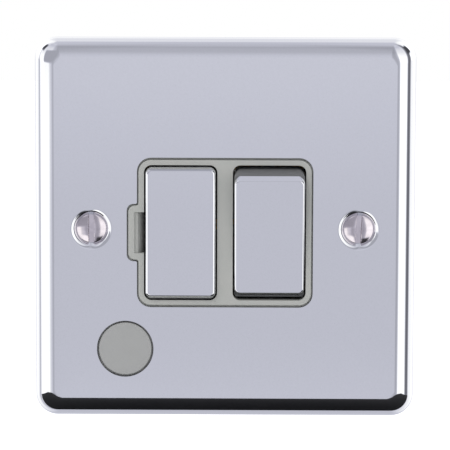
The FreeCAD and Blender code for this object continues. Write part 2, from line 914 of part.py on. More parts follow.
    def strap_slots(sketch):
        half = size.strap_width / 2 + size.insert_gap
        for side in (-1, 1):
            x0, x1 = sorted(
                (block_half_width * side, (housing_half_width + PAST) * side),
                key=lambda v: v.value,
            )
            z = centre_z - stud_z * side
            rectangle(sketch, x0, x1, z - half, z + half)

    front_pocket(
        body,
        "strap_slots",
        size.joint_plane - size.rear_flange,
        size.joint_plane,
        strap_slots,
    )


def build_rear_housing():
    body = new_body("rear_housing")
    wide, tall = housing_half_width, housing_half_height
    front_pad(
        body,
        "housing_block",
        size.joint_plane,
        size.housing_back,
        lambda s: rounded(
            s, -wide, wide, centre_z - tall, centre_z + tall, size.housing_corner
        ),
    )
    rounded_edges(
        body,
        "back_edge",
        size.insert_edge * 2,
        lambda e: in_plane(e, "Y", size.housing_back.value),
    )
    inner_wide, inner_tall = wide - size.housing_wall, tall - size.housing_wall
    front_pocket(
        body,
        "contact_bay",
        size.joint_plane,
        size.deck,
        lambda s: rounded(
            s,
            -inner_wide,
            inner_wide,
            centre_z - inner_tall,
            centre_z + inner_tall,
            size.housing_corner,
        ),
    )

    def columns(sketch):
        for sx, sz in corners:
            circle(
                sketch,
                column_x * sx,
                centre_z + column_z * sz,
                size.column_radius,
            )

    front_pad(body, "columns", size.joint_plane, size.housing_back, columns)

    room = size.terminal_width / 2 + size.chamber_gap
    foot = terminal_foot - size.chamber_gap
    chamber_back = size.housing_back - size.back_wall
    for node, (x, side) in TERMINALS.items():
        low, high = mirrored_span(foot, tall + PAST, side)
        front_pocket(
            body,
            node.replace("terminal", "chamber"),
            size.deck,
            chamber_back,
            lambda s, a=x - room, b=x + room, c=low, d=high: rectangle(s, a, b, c, d),
        )

    def driver_holes(sketch):
        for x, side in TERMINALS.values():
            middle = (terminal_top + terminal_foot) / 2 * side
            circle(sketch, x, centre_z + middle, size.screw_head + size.chamber_gap * 2)

    front_pocket(body, "driver_holes", chamber_back, size.housing_back, driver_holes)

    def holes(sketch, radius):
        for sx, sz in corners:
            circle(
                sketch, column_x * sx, centre_z + column_z * sz, radius
            )

    front_pocket(
        body,
        "column_holes",
        size.joint_plane,
        size.housing_back,
        lambda s: holes(s, size.assembly_screw + size.insert_gap),
    )

    def strap_recesses(sketch):
        half = size.strap_width / 2 + size.insert_gap
        reach = strap_leg + size.strip + size.insert_gap
        for side in (-1, 1):
            x0, x1 = sorted((inner_wide * side, reach * side), key=lambda v: v.value)
            z = centre_z - stud_z * side
            rectangle(sketch, x0, x1, z - half, z + half)

    front_pocket(body, "strap_recesses", size.joint_plane, size.deck, strap_recesses)

    def cores(sketch):
        half = foot - size.housing_wall
        rib = size.housing_wall
        span = (wide - rib) * 2
        pitch = span / size.back_bays
        for i in range(round(size.back_bays.value)):
            x0 = -wide + rib + pitch * i + rib / 2
            rectangle(sketch, x0, x0 + pitch - rib, centre_z - half, centre_z + half)

    front_pocket(
        body,
        "back_cores",
        size.housing_back - size.core_depth,
        size.housing_back,
        cores,
    )


def build_fixing_screws():
    seat_lift = size.screw_fit * math.sqrt(2)
    rim_y = face + size.dimple_mouth - size.fixing_head - seat_lift
    neck_y = rim_y + size.fixing_head - size.fixing_neck
    for side, name in ((-1, "left"), (1, "right")):
        body = new_body(f"fixing_screw_{name}")
        place = (size.fixing_pitch / 2 * side, 0)
        shank = sketch_on(body, f"screw_{name}_sketch", "level", 0, place)
        crown = dome(size.fixing_head, size.fixing_dome, rim_y - size.fixing_dome - seat_lift)
        polygon(
            shank,
            crown
            + [
                (size.fixing_head, rim_y),
                (size.fixing_neck, neck_y),
                (size.fixing_neck, -size.fixing_neck_end),
                (size.fixing_radius, -size.fixing_neck_end),
                (size.fixing_radius, size.fixing_reach - size.fixing_chamfer),
                (size.fixing_radius - size.fixing_chamfer, size.fixing_reach),
                (0, size.fixing_reach),
            ],
        )
        turned(body, f"screw_{name}_blank", shank)
        slot = sketch_on(
            body, f"screw_{name}_slot_sketch", "front", rim_y - size.fixing_dome - PAST
        )
        half = size.fixing_slot / 2
        rectangle(
            slot,
            place[0] - half,
            place[0] + half,
            -size.fixing_head - PAST,
            size.fixing_head + PAST,
        )
        pocket(body, f"screw_{name}_slot", slot, size.fixing_slot_depth + PAST)


def build_outlet_blank():
    body = new_body("flex_outlet_blank")
    profile = sketch_on(body, "blank_sketch", "level", outlet_z, (outlet_x, 0))
    front = face + size.blank_recess
    radius = size.outlet_hole - size.blank_gap
    back = sheet_back + size.blank_flange_thickness
    polygon(
        profile,
        [
            (0, front),
            (radius - size.blank_edge, front),
            (radius, front + size.blank_edge),
            (radius, sheet_back + size.screw_fit),
            (size.blank_flange, sheet_back + size.screw_fit),
            (size.blank_flange, back - size.screw_fit),
            (radius - size.blank_skin, back - size.screw_fit),
            (radius - size.blank_skin, front + size.blank_skin),
            (0, front + size.blank_skin),
        ],
    )
    turned(body, "blank_disc", profile)


def build_cord_clamp():
    body = new_body("cord_clamp_bar")
    half = size.clamp_spacing + size.clamp_boss
    x0 = -size.clamp_x - size.clamp_bar_width / 2
    front_pad(
        body,
        "clamp_slab",
        size.clamp_seat,
        size.clamp_seat + size.clamp_bar_thickness,
        lambda s: rounded(
            s,
            x0,
            x0 + size.clamp_bar_width,
            clamp_z - half,
            clamp_z + half,
            size.clamp_boss,
        ),
    )
    arch = sketch_on(body, "clamp_arch_sketch", "side", -size.clamp_x)
    arch_y = size.clamp_seat + size.clamp_arch_rise - size.clamp_arch
    circle(arch, arch_y, clamp_z, size.clamp_arch)
    pocket(body, "clamp_arch_cut", arch, size.clamp_bar_width + PAST, both=True)

    def holes(sketch):
        for side in (-1, 1):
            up = clamp_z + size.clamp_spacing * side
            circle(sketch, -size.clamp_x, up, size.assembly_screw + size.insert_gap)

    front_pocket(
        body,
        "clamp_holes",
        size.clamp_seat,
        size.clamp_seat + size.clamp_bar_thickness,
        holes,
    )
    seat = size.clamp_seat + size.clamp_bar_thickness
    screws = []
    for side, name in ((-1, "lower"), (1, "upper")):
        up = clamp_z + size.clamp_spacing * side
        screws.append(
            small_screw(f"clamp_screw_{name}", -size.clamp_x, up, flange_back + size.strip, seat)
        )
    keep("cord_clamp_screws", group("cord_clamp_screws", screws))


def small_screw(name, x, z, tip, seat):
    """A slotted screw driven from the back: its shank ends at tip, its head sits on seat."""
    radius = size.assembly_screw
    head_height = size.assembly_head_height
    shank = rod(f"{name}_shank", "y", (x, z), tip, seat + head_height / 2, radius)
    head = rod(f"{name}_head", "y", (x, z), seat, seat + head_height, size.assembly_head)
    slot = block(
        f"{name}_slot",
        (x - size.strip / 2, x + size.strip / 2),
        (seat + head_height - size.strip, seat + head_height + PAST),
        (z - size.assembly_head - PAST, z + size.assembly_head + PAST),
    )
    return cut(name, joined(f"{name}_blank", [shank, head]), slot)


def build_housing_screws():
    screws = []
    tip = size.column_front + size.column_skin + size.strip
    for i, (sx, sz) in enumerate(corners, start=1):
        x, z = column_x * sx, centre_z + column_z * sz
        screws.append(small_screw(f"housing_screw_{i}", x, z, tip, size.housing_back))
    keep("housing_screws", group("housing_screws", screws))


def build_stud_fixings():
    studs, washers, nuts = [], [], []
    washer_back = flange_back + size.strip
    for i, (sx, sz) in enumerate(corners, start=1):
        x, z = stud_x * sx, centre_z + stud_z * sz
        end = sheet_back + size.stud_length
        studs.append(rod(f"stud_{i}", "y", (x, z), sheet_back, end, size.stud_radius))
        hole = size.stud_radius + size.screw_fit
        if sx == sz:
            ring = rod(
                f"washer_{i}_disc", "y", (x, z), flange_back, washer_back, size.nut_flats / 2
            )
            eye = rod(
                f"washer_{i}_eye", "y", (x, z), flange_back - PAST, washer_back + PAST, hole
            )
            washers.append(cut(f"washer_{i}", ring, eye))
        nut = doc.addObject("Part::Prism", f"nut_{i}_blank")
        nut.Polygon = 6
        bind(nut, "Circumradius", size.nut_flats / math.sqrt(3))
        bind(nut, "Height", size.nut_thickness)
        turn = Rotation(Vector(1, 0, 0), -90) * Rotation(Vector(0, 0, 1), 30)
        nut.Placement = Placement(Vector(), turn)
        for axis, place in zip("xyz", (x, washer_back, z)):
            bind(nut, f"Placement.Base.{axis}", place)
        thread = rod(
            f"nut_{i}_thread",
            "y",
            (x, z),
            washer_back - PAST,
            washer_back + size.nut_thickness + PAST,
            hole,
        )
        nuts.append(cut(f"nut_{i}", nut, thread))
    keep("weld_studs", group("weld_studs", studs))
    keep("stud_washers", group("stud_washers", washers))
    keep("stud_nuts", group("stud_nuts", nuts))


def build_earth_straps():
    """A bent strap from a weld stud to the earth terminal beside it, used twice, half a turn apart."""
    leg_in = strap_leg
    leg_out = leg_in + size.strip
    eye_end = stud_x + size.nut_flats / 2
    foot_end = leg_out - size.strap_foot
    for side, name in ((-1, "earth_strap_supply"), (1, "earth_strap_load")):
        z = centre_z - stud_z * side
        body = new_body(name)
        bend = sketch_on(body, f"{name}_sketch", "level", z)
        polygon(
            bend,
            [
                (eye_end * side, flange_back),
                (leg_in * side, flange_back),
                (leg_in * side, strip_front),
                (foot_end * side, strip_front),
                (foot_end * side, size.deck),
                (leg_out * side, size.deck),
                (leg_out * side, flange_back + size.strip),
                (eye_end * side, flange_back + size.strip),
            ],
        )
        pad(body, f"{name}_strip", bend, size.strap_width, both=True)
        front_pocket(
            body,
            f"{name}_eye",
            flange_back,
            flange_back + size.strip,
            lambda s, a=stud_x * side, b=z: circle(
                s, a, b, size.stud_radius + size.screw_fit
            ),
        )


def build_terminals():
    screws = []
    for node, (x, side) in TERMINALS.items():
        body = new_body(node)
        low, high = mirrored_span(terminal_foot, terminal_top, side)
        half = size.terminal_width / 2
        front_pad(
            body,
            f"{node}_bar",
            size.deck,
            terminal_back,
            lambda s, a=x, b=low, c=high: rectangle(s, a - half, a + half, b, c),
        )
        rounded_edges(
            body,
            f"{node}_chamfer",
            size.chamber_gap,
            lambda e: in_plane(e, "Y", terminal_back.value),
            "Chamfer",
        )
        bore = sketch_on(body, f"{node}_bore_sketch", "level", low - PAST)
        circle(bore, x, wire_y, size.wire_bore)
        pocket(body, f"{node}_bore", bore, size.terminal_length + PAST * 2, backwards=True)
        middle = (low + high) / 2
        front_pocket(
            body,
            f"{node}_thread",
            wire_y,
            terminal_back + PAST,
            lambda s, a=x, b=middle: circle(s, a, b, size.screw_radius + size.screw_fit),
        )
        screws.append(terminal_screw(f"{node}_screw", x, middle))
    keep("terminal_screws", group("terminal_screws", screws))


def terminal_screw(name, x, z):
    seat = terminal_back + size.screw_lift
    tip = wire_y + size.wire_bore + size.chamber_gap
    top = seat + size.screw_head_height
    shank = rod(f"{name}_shank", "y", (x, z), tip, (seat + top) / 2, size.screw_radius)
    head = rod(f"{name}_head", "y", (x, z), seat, top, size.screw_head)
    slot = block(
        f"{name}_slot",
        (x - size.strip / 2, x + size.strip / 2),
        (top - size.screw_head_height / 2, top + PAST),
        (z - size.screw_head - PAST, z + size.screw_head + PAST),
    )
    return cut(name, joined(f"{name}_blank", [shank, head]), slot)


# The contact tip's dome as a ball: its radius, and its centre from the arm's face
tip_ball = (size.tip_radius * size.tip_radius + size.tip_dome * size.tip_dome) / (size.tip_dome * 2)
ball_depth = size.tip_height - tip_ball
tip_reach = ball_depth * cosine(size.arm_tilt) + size.tip_station * sine(size.arm_tilt) + tip_ball
tip_up = size.tip_station * cosine(size.arm_tilt) - ball_depth * sine(size.arm_tilt)


def build_fixed_contacts():
    half = size.arm_half_width
    low, high = mirrored_span(
        tip_up - size.tip_radius - size.strip, terminal_top - size.chamber_gap, 1
    )
    fixed_front = size.arm_pivot + tip_reach + size.contact_gap
    tips = []
    for x, name in ((line_x, "line"), (neutral_x, "neutral")):
        strip = block(
            f"{name}_supply_strip", (x - half, x + half), (strip_front, size.deck), (low, high)
        )
        keep(f"{name}_supply_contact", strip)
        tips.append(
            rod(
                f"{name}_fixed_tip",
                "y",
                (x, centre_z + tip_up),
                fixed_front,
                strip_front,
                size.tip_radius,
            )
        )
    keep("fixed_contact_tips", group("fixed_contact_tips", tips))


def knife_support(body, name, x):
    """The upstand whose edge an arm rocks on."""
    sketch = sketch_on(body, f"{name}_sketch", "side", x)
    edge = size.arm_pivot + size.knife_gap
    waist = edge + size.arm_sheet
    polygon(
        sketch,
        [
            (strip_front, centre_z - size.knife_foot),
            (waist, centre_z - size.knife_neck),
            (edge, centre_z),
            (waist, centre_z + size.knife_neck),
            (strip_front, centre_z + size.knife_foot),
        ],
    )
    pad(body, name, sketch, size.arm_half_width * 2, both=True)


def build_links():
    half = size.arm_half_width
    link = size.link_width

    line = new_body("line_link")
    clip_top = centre_z + clip_station + size.clip_width / 2
    front_pad(
        line,
        "line_link_strip",
        strip_front,
        size.deck,
        lambda s: polygon(
            s,
            [
                (carrier_x - half, centre_z - link / 2),
                (line_x + half, centre_z - link / 2),
                (line_x + half, centre_z + link / 2),
                (carrier_x + half, centre_z + link / 2),
                (carrier_x + half, clip_top),
                (carrier_x - half, clip_top),
            ],
        ),
    )
    knife_support(line, "line_knife", line_x)

    neutral = new_body("neutral_link")
    contact_low = centre_z - terminal_foot - size.terminal_length / 2
    cross_high = centre_z - link - size.knife_foot
    cross_low = cross_high - link / 2
    front_pad(
        neutral,
        "neutral_link_strip",
        strip_front,
        size.deck,
        lambda s: polygon(
            s,
            [
                (neutral_x - half, centre_z + link / 2),
                (neutral_x - half, cross_high),
                (line_x - half, cross_high),
                (line_x - half, contact_low),
                (line_x + half, contact_low),
                (line_x + half, cross_low),
                (neutral_x + half, cross_low),
                (neutral_x + half, centre_z + link / 2),
            ],
        ),
    )
    knife_support(neutral, "neutral_knife", neutral_x)


def build_fuse_clips():
    inner = size.fuse_radius + size.clip_gap
    outer = inner + size.clip_sheet
    for side, name in ((1, "fuse_clip_upper"), (-1, "fuse_clip_lower")):
        body = new_body(name)
        z = centre_z + clip_station * side
        base_back = strip_front
        base_front = base_back - size.clip_sheet
        lip = size.clip_mouth + size.clip_sheet * 2
        right = [
            (outer, base_back),
            (outer, lip),
            (outer + size.clip_flare, size.clip_mouth),
            (inner + size.clip_flare, size.clip_mouth),
            (inner, lip),
            (inner, base_front),
        ]
        left = [(-x, y) for x, y in reversed(right)]
        profile = sketch_on(body, f"{name}_sketch", "level", z)
        polygon(profile, [(carrier_x + x, y) for x, y in right + left])
        pad(body, f"{name}_strip", profile, size.clip_width, both=True)
    half = size.arm_half_width
    low, high = mirrored_span(terminal_foot, terminal_top - size.chamber_gap, -1)
    strip = block(
        "line_load_strip", (carrier_x - half, carrier_x + half), (strip_front, size.deck), (low, high)
    )
    keep("line_load_contact", strip)


def build_fuse():
    half = size.fuse_length / 2
    tube_radius = size.fuse_radius - size.fuse_cap_wall - size.screw_fit
    inside = half - size.fuse_cap_wall - size.screw_fit
    axis = (carrier_x, size.fuse_depth)
    tube = rod(
        "fuse_tube", "z", axis, centre_z - inside, centre_z + inside, tube_radius
    )
    keep("fuse_tube", tube)
    caps = []
    for side, name in ((1, "upper"), (-1, "lower")):
        low, high = mirrored_span(half - size.fuse_cap_length, half, side)
        cup = rod(f"fuse_cap_{name}_blank", "z", axis, low, high, size.fuse_radius)
        if side > 0:
            core = (low - 1, high - size.fuse_cap_wall)
        else:
            core = (low + size.fuse_cap_wall, high + 1)
        hollow = rod(
            f"fuse_cap_{name}_core",
            "z",
            axis,
            core[0],
            core[1],
            size.fuse_radius - size.fuse_cap_wall,
        )
        caps.append(cut(f"fuse_cap_{name}", cup, hollow))
    keep("fuse_end_caps", group("fuse_end_caps", caps))


def build_fuse_carrier():
    half_x = size.well_width / 2 - size.carrier_gap
    half_z = well_height / 2 - size.carrier_gap
    corner = size.well_corner - size.carrier_gap
    cap_front = bezel_face - size.carrier_proud
    cap_back = cap_front + size.carrier_cap_depth
    seat = cap_back + size.carrier_flange

    def outline(shrink, radius):
        return lambda s: rounded(
            s,
            carrier_x - half_x + shrink,
            carrier_x + half_x - shrink,
            centre_z - half_z + shrink,
            centre_z + half_z - shrink,
            radius,
        )

    cap = new_body("fuse_carrier_cap")
    front_pad(cap, "cap_blank", cap_front, cap_back, outline(0, corner))
    rounded_edges(
        cap, "cap_edge_round", size.cap_edge, lambda e: in_plane(e, "Y", cap_front.value)
    )
    front_pocket(
        cap,
        "cap_hollow",
        cap_front + size.cap_sheet,
        cap_back,
        outline(size.cap_sheet, corner - size.cap_sheet / 2),
    )

    body = new_body("fuse_carrier")
    inner = size.cap_sheet + size.cap_fit
    front_pad(
        body,
        "carrier_boss",
        cap_front + inner,
        cap_back + size.cap_sheet,
        outline(inner, corner - size.cap_sheet / 2),
    )
    rounded_edges(
        body,
        "carrier_boss_edge",
        size.cap_edge - size.cap_sheet / 2,
        lambda e: in_plane(e, "Y", (cap_front + inner).value),
    )
    front_pad(
        body, "carrier_flange", cap_back + size.cap_fit, seat, outline(0, corner)
    )
    leg_out = half_z
    leg_in = leg_out - size.carrier_leg

    def legs(sketch):
        for side in (-1, 1):
            low, high = mirrored_span(leg_in, leg_out, side)
            rectangle(
                sketch,
                carrier_x - size.saddle_half_width,
                carrier_x + size.saddle_half_width,
                low,
                high,
            )

    def side_walls(sketch):
        for side in (-1, 1):
            x0, x1 = sorted(
                (
                    carrier_x + half_x * side,
                    carrier_x + (half_x - size.carrier_leg) * side,
                ),
                key=lambda v: v.value,
            )
            rectangle(sketch, x0, x1, centre_z - leg_in, centre_z + leg_in)

    front_pad(
        body,
        "saddle",
        seat,
        size.fuse_depth,
        lambda s: rectangle(
            s,
            carrier_x - size.saddle_half_width,
            carrier_x + size.saddle_half_width,
            centre_z - saddle_half_height,
            centre_z + saddle_half_height,
        ),
    )
    front_pad(body, "carrier_legs", seat, size.carrier_leg_back, legs)
    front_pad(body, "carrier_walls", seat, size.carrier_wall_back, side_walls)
    groove = sketch_on(
        body, "fuse_groove_sketch", "level", centre_z - saddle_half_height - PAST
    )
    circle(groove, carrier_x, size.fuse_depth, size.fuse_radius + size.screw_fit)
    pocket(
        body, "fuse_groove", groove, (saddle_half_height + PAST) * 2, backwards=True
    )


def tilt_about_pivot(item):
    item.Placement = Placement(Vector(), Rotation(Vector(1, 0, 0), 1))
    bind(item, "Placement.Rotation.Angle", size.rocker_tilt)
    for axis, place in zip("xyz", (rocker_x, pivot_y, centre_z)):
        bind(item, f"Placement.Base.{axis}", place)


def build_rocker():
    """Drawn level about its own pivot, front towards -Y, and then tilted to rest."""
    half_x = size.well_width / 2 - size.rocker_gap
    body = new_body("rocker")
    drum = sketch_on(body, "rocker_drum_sketch", "side")
    circle(drum, 0, 0, rocker_radius)
    pad(body, "rocker_drum", drum, half_x * 2, both=True)
    reach = rocker_radius + PAST
    ends = sketch_on(body, "rocker_ends_sketch", "side")
    rectangle(ends, -reach, -size.rocker_shoulder, -reach, reach)
    rectangle(ends, size.rocker_back, reach, -reach, reach)
    pocket(body, "rocker_front_and_back", ends, (half_x + PAST) * 2, both=True)

    def corners_off(sketch):
        rectangle(sketch, -half_x - PAST, half_x + PAST, -reach, reach)
        rounded(sketch, -half_x, half_x, -rocker_radius, rocker_radius, size.well_corner)

    front_pocket(body, "rocker_corners", -size.rocker_shoulder, size.rocker_back, corners_off)

    inset = size.cap_sheet + size.cap_fit
    boss = sketch_on(body, "rocker_boss_sketch", "side")
    slope_in = cap_skirt_half - inset
    flat_in = cap_face_half - inset / 2
    front_in = -size.rocker_face + inset
    polygon(
        boss,
        [
            (size.cap_sheet - size.rocker_shoulder, -slope_in),
            (size.cap_sheet - size.rocker_shoulder, slope_in),
            (-size.rocker_shoulder, slope_in),
            (front_in, flat_in),
            (front_in, -flat_in),
            (-size.rocker_shoulder, -slope_in),
        ],
    )
    pad(body, "rocker_boss", boss, (half_x - inset) * 2, both=True)

    hollow = sketch_on(body, "rocker_hollow_sketch", "side")
    hollow_z = rocker_radius - size.rocker_wall * 2
    rectangle(
        hollow, size.cap_sheet - size.rocker_shoulder, size.rocker_back + PAST, -hollow_z, hollow_z
    )
    pocket(
        body, "rocker_hollow", hollow, (half_x - size.rocker_wall) * 2, both=True
    )

    def two_circles(sketch, radius):
        for side in (-1, 1):
            circle(sketch, size.pole_spacing * side, 0, radius)

    front_pad(
        body,
        "plunger_guides",
        -size.rocker_shoulder,
        size.guide_end,
        lambda s: two_circles(s, size.guide_radius),
    )
    front_pocket(
        body,
        "plunger_bores",
        0,
        size.guide_end,
        lambda s: two_circles(s, size.plunger_radius + size.plunger_fit),
    )
    for side, name in ((-1, "left"), (1, "right")):
        inside = half_x - size.rocker_wall / 2
        length = size.trunnion_reach + size.rocker_wall / 2
        start = inside if side > 0 else -inside
        pin = sketch_on(body, f"trunnion_{name}_sketch", "side", start)
        circle(pin, 0, 0, size.trunnion_radius)
        pad(body, f"trunnion_{name}", pin, length, backwards=side < 0)
    tilt_about_pivot(body)

    cap = new_body("rocker_cap")
    shell = sketch_on(cap, "rocker_cap_sketch", "side")
    skirt = -size.rocker_shoulder - size.cap_fit
    polygon(
        shell,
        [
            (skirt, -cap_skirt_half),
            (skirt, cap_skirt_half),
            (-size.rocker_face, cap_face_half),
            (-size.rocker_face, -cap_face_half),
        ],
    )
    pad(cap, "rocker_cap_blank", shell, half_x * 2, both=True)
    rounded_edges(
        cap,
        "rocker_cap_round",
        size.cap_round,
        lambda e: not in_plane(e, "Y", skirt.value),
    )
    hollow = sketch_on(cap, "rocker_cap_hollow_sketch", "side")
    slope_in = cap_skirt_half - size.cap_sheet
    flat_in = cap_face_half - size.cap_sheet / 2
    polygon(
        hollow,
        [
            (skirt + PAST, -slope_in),
            (skirt + PAST, slope_in),
            (skirt, slope_in),
            (-size.rocker_face + size.cap_sheet, flat_in),
            (-size.rocker_face + size.cap_sheet, -flat_in),
            (skirt, -slope_in),
        ],
    )
    pocket(cap, "rocker_cap_hollow", hollow, (half_x - size.cap_sheet) * 2, both=True)
    tilt_about_pivot(cap)


def build_plungers():
    """Each plunger and its spring lie in a guide on the rocker's back, and tilt with it."""
    for side, name in ((-1, "line"), (1, "neutral")):
        x = size.pole_spacing * side
        body = new_body(f"plunger_{name}")
        profile = sketch_on(body, f"plunger_{name}_sketch", "level", 0, (x, 0))
        polygon(
            profile,
            dome(size.plunger_radius, size.plunger_dome, size.plunger_back, 1)
            + [(size.plunger_radius, size.plunger_front), (0, size.plunger_front)],
        )
        turned(body, f"plunger_{name}_pin", profile)
        tilt_about_pivot(body)

        node = f"plunger_spring_{name}"
        start = size.spring_wire + size.cap_fit
        path = doc.addObject("Part::Helix", f"{node}_path")
        bind(path, "Pitch", size.spring_pitch)
        bind(path, "Height", size.plunger_front - start * 2)
        bind(path, "Radius", size.spring_coil)
        ring = doc.addObject("Part::Circle", f"{node}_wire")
        bind(ring, "Radius", size.spring_wire)
        ring.Placement = Placement(Vector(), Rotation(Vector(1, 0, 0), 90))
        bind(ring, "Placement.Base.x", size.spring_coil)
        refresh(path, ring)
        coil = doc.addObject("Part::Sweep", f"{node}_coil")
        coil.Sections = [ring]
        coil.Spine = (path, [f"Edge{i + 1}" for i in range(len(path.Shape.Edges))])
        coil.Solid = True
        coil.Frenet = True
        coil.Placement = Placement(Vector(), Rotation(Vector(1, 0, 0), -90))
        bind(coil, "Placement.Base.x", x)
        bind(coil, "Placement.Base.y", start)
        spring = group(node, [coil])
        keep(node, spring)
        tilt_about_pivot(spring)


def build_arms():
    """Drawn level about the pivot, and then tilted so that the contact's end goes back."""
    for x, name in ((line_x, "line"), (neutral_x, "neutral")):
        arm = new_body(f"contact_arm_{name}")
        profile = sketch_on(arm, f"arm_{name}_sketch", "side")
        polygon(
            profile,
            [
                (-size.arm_sheet, -size.arm_short_end),
                (-size.arm_sheet, size.arm_long_end),
                (0, size.arm_long_end),
                (0, -size.arm_short_end),
            ],
        )
        pad(arm, f"arm_{name}_strip", profile, size.arm_half_width * 2, both=True)
        notch = sketch_on(arm, f"arm_{name}_notch_sketch", "side")
        circle(notch, 0, 0, size.arm_notch)
        pocket(arm, f"arm_{name}_notch", notch, (size.arm_half_width + PAST) * 2, both=True)
        rounded_edges(
            arm,
            f"arm_{name}_ends",
            size.arm_half_width / 2,
            lambda e: abs(e.BoundBox.YLength - size.arm_sheet.value) < 1e-4
            and e.BoundBox.ZLength < 1e-4,
        )
        tip = doc.addObject("PartDesign::Body", f"contact_tip_{name}")
        keep(f"contact_tip_{name}", tip)
        rivet = sketch_on(tip, f"tip_{name}_sketch", "level", size.tip_station)
        polygon(
            rivet,
            dome(size.tip_radius, size.tip_dome, size.tip_height, 1) + [(size.tip_radius, 0), (0, 0)],
        )
        turned(tip, f"tip_{name}_rivet", rivet)
        for item in (arm, tip):
            item.Placement = Placement(Vector(), Rotation(Vector(-1, 0, 0), 1))
            bind(item, "Placement.Rotation.Angle", size.arm_tilt)
            for axis, place in zip("xyz", (x, size.arm_pivot, centre_z)):
                bind(item, f"Placement.Base.{axis}", place)


def check_and_write():
    doc.recompute()
    for item in doc.Objects:
        if "Invalid" in item.State or "Error" in item.State:
            raise RuntimeError(f"{item.Label} failed: {item.State}")
    for node, item in parts.items():
        shape = item.Shape
        if shape.isNull() or not shape.isValid() or not shape.Solids:
            raise RuntimeError(f"{node} is not a valid solid")
    os.makedirs("parts", exist_ok=True)
    for node, item in parts.items():
        item.Shape.exportStep(f"parts/{node}.step")
        print(f"{node}: {len(item.Shape.Solids)} solid, {item.Shape.Volume:.1f} mm3")


build_front_plate()
build_insert()
build_rear_housing()
build_fixing_screws()
build_outlet_blank()
build_cord_clamp()
build_housing_screws()
build_stud_fixings()
build_earth_straps()
build_terminals()
build_fixed_contacts()
build_links()
build_fuse_clips()
build_fuse()
build_fuse_carrier()
build_rocker()
build_plungers()
build_arms()
check_and_write()
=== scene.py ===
import json
import math

import bmesh
import bpy
from mathutils import Matrix, Vector


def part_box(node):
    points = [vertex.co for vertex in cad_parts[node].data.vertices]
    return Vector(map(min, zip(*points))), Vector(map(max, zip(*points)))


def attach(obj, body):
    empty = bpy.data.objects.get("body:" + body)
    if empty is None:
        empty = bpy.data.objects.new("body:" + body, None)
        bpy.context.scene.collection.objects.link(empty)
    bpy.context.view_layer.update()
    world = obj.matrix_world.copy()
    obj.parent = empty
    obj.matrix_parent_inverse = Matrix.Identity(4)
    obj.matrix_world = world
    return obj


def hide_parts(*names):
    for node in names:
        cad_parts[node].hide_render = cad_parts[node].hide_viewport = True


bl_info = {
    "name": "Fused Spur Unit",
    "version": (1, 0, 0),
    "blender": (4, 5, 0),
    "location": "View3D > Sidebar > Spur Unit",
    "description": "Builds and finishes the pieces of a fused spur unit",
    "category": "Object",
}

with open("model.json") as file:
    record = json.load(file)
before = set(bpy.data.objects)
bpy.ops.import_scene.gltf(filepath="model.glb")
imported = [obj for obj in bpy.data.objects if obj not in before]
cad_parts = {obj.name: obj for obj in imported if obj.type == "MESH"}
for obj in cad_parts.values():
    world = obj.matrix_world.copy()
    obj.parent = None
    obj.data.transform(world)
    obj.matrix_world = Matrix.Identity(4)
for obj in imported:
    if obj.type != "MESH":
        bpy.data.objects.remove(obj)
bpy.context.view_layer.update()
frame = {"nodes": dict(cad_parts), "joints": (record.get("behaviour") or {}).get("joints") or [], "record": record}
nodes = frame["nodes"]
MM = 0.001


# Colours and shader nodes


def linear(code):
    """The linear colour of an sRGB hex code, with full cover."""
    shares = [int(code[i : i + 2], 16) / 255 for i in (1, 3, 5)]
    bent = [s / 12.92 if s <= 0.04045 else ((s + 0.055) / 1.055) ** 2.4 for s in shares]
    return (*bent, 1.0)


def add_node(tree, kind, inputs=None, **settings):
    """A shader node with its settings; an input is a value, or another node's output to link."""
    node = tree.nodes.new(kind)
    for name, value in settings.items():
        setattr(node, name, value)
    for key, value in (inputs or {}).items():
        if isinstance(value, bpy.types.NodeSocket):
            tree.links.new(value, node.inputs[key])
        else:
            node.inputs[key].default_value = value
    return node


def new_material(name):
    """An empty material, its shader and a coordinate that counts millimetres in the row frame."""
    material = bpy.data.materials.new(name)
    material.use_nodes = True
    tree = material.node_tree
    tree.nodes.clear()
    place = add_node(tree, "ShaderNodeTexCoord")
    scaled = add_node(
        tree,
        "ShaderNodeMapping",
        {"Vector": place.outputs["Object"], "Scale": (1 / MM,) * 3},
    )
    shader = add_node(tree, "ShaderNodeBsdfPrincipled")
    add_node(tree, "ShaderNodeOutputMaterial", {"Surface": shader.outputs["BSDF"]})
    return material, tree, scaled.outputs["Vector"], shader


def noise(tree, place, size_mm, detail=3.0, roughness=0.5):
    """Noise whose grains measure about size_mm."""
    return add_node(
        tree,
        "ShaderNodeTexNoise",
        {"Vector": place, "Scale": 1 / size_mm, "Detail": detail, "Roughness": roughness},
    ).outputs["Fac"]


def spread(tree, value, low, high):
    """Maps noise onto the span low to high."""
    return add_node(
        tree,
        "ShaderNodeMapRange",
        {"Value": value, "From Min": 0.3, "From Max": 0.7, "To Min": low, "To Max": high},
    ).outputs["Result"]


def bumped(tree, height, depth_mm):
    """A normal that follows a height of at most depth_mm."""
    inputs = {"Height": height, "Distance": depth_mm * MM, "Strength": 1.0}
    return add_node(tree, "ShaderNodeBump", inputs).outputs["Normal"]


def mixed(tree, share, first, second):
    """The colour between two others."""
    return add_node(
        tree, "ShaderNodeMix", {0: share, 6: first, 7: second}, data_type="RGBA"
    ).outputs[2]


# Materials. Grain finer than a pixel of the picture is drawn as coarse as it needs to show


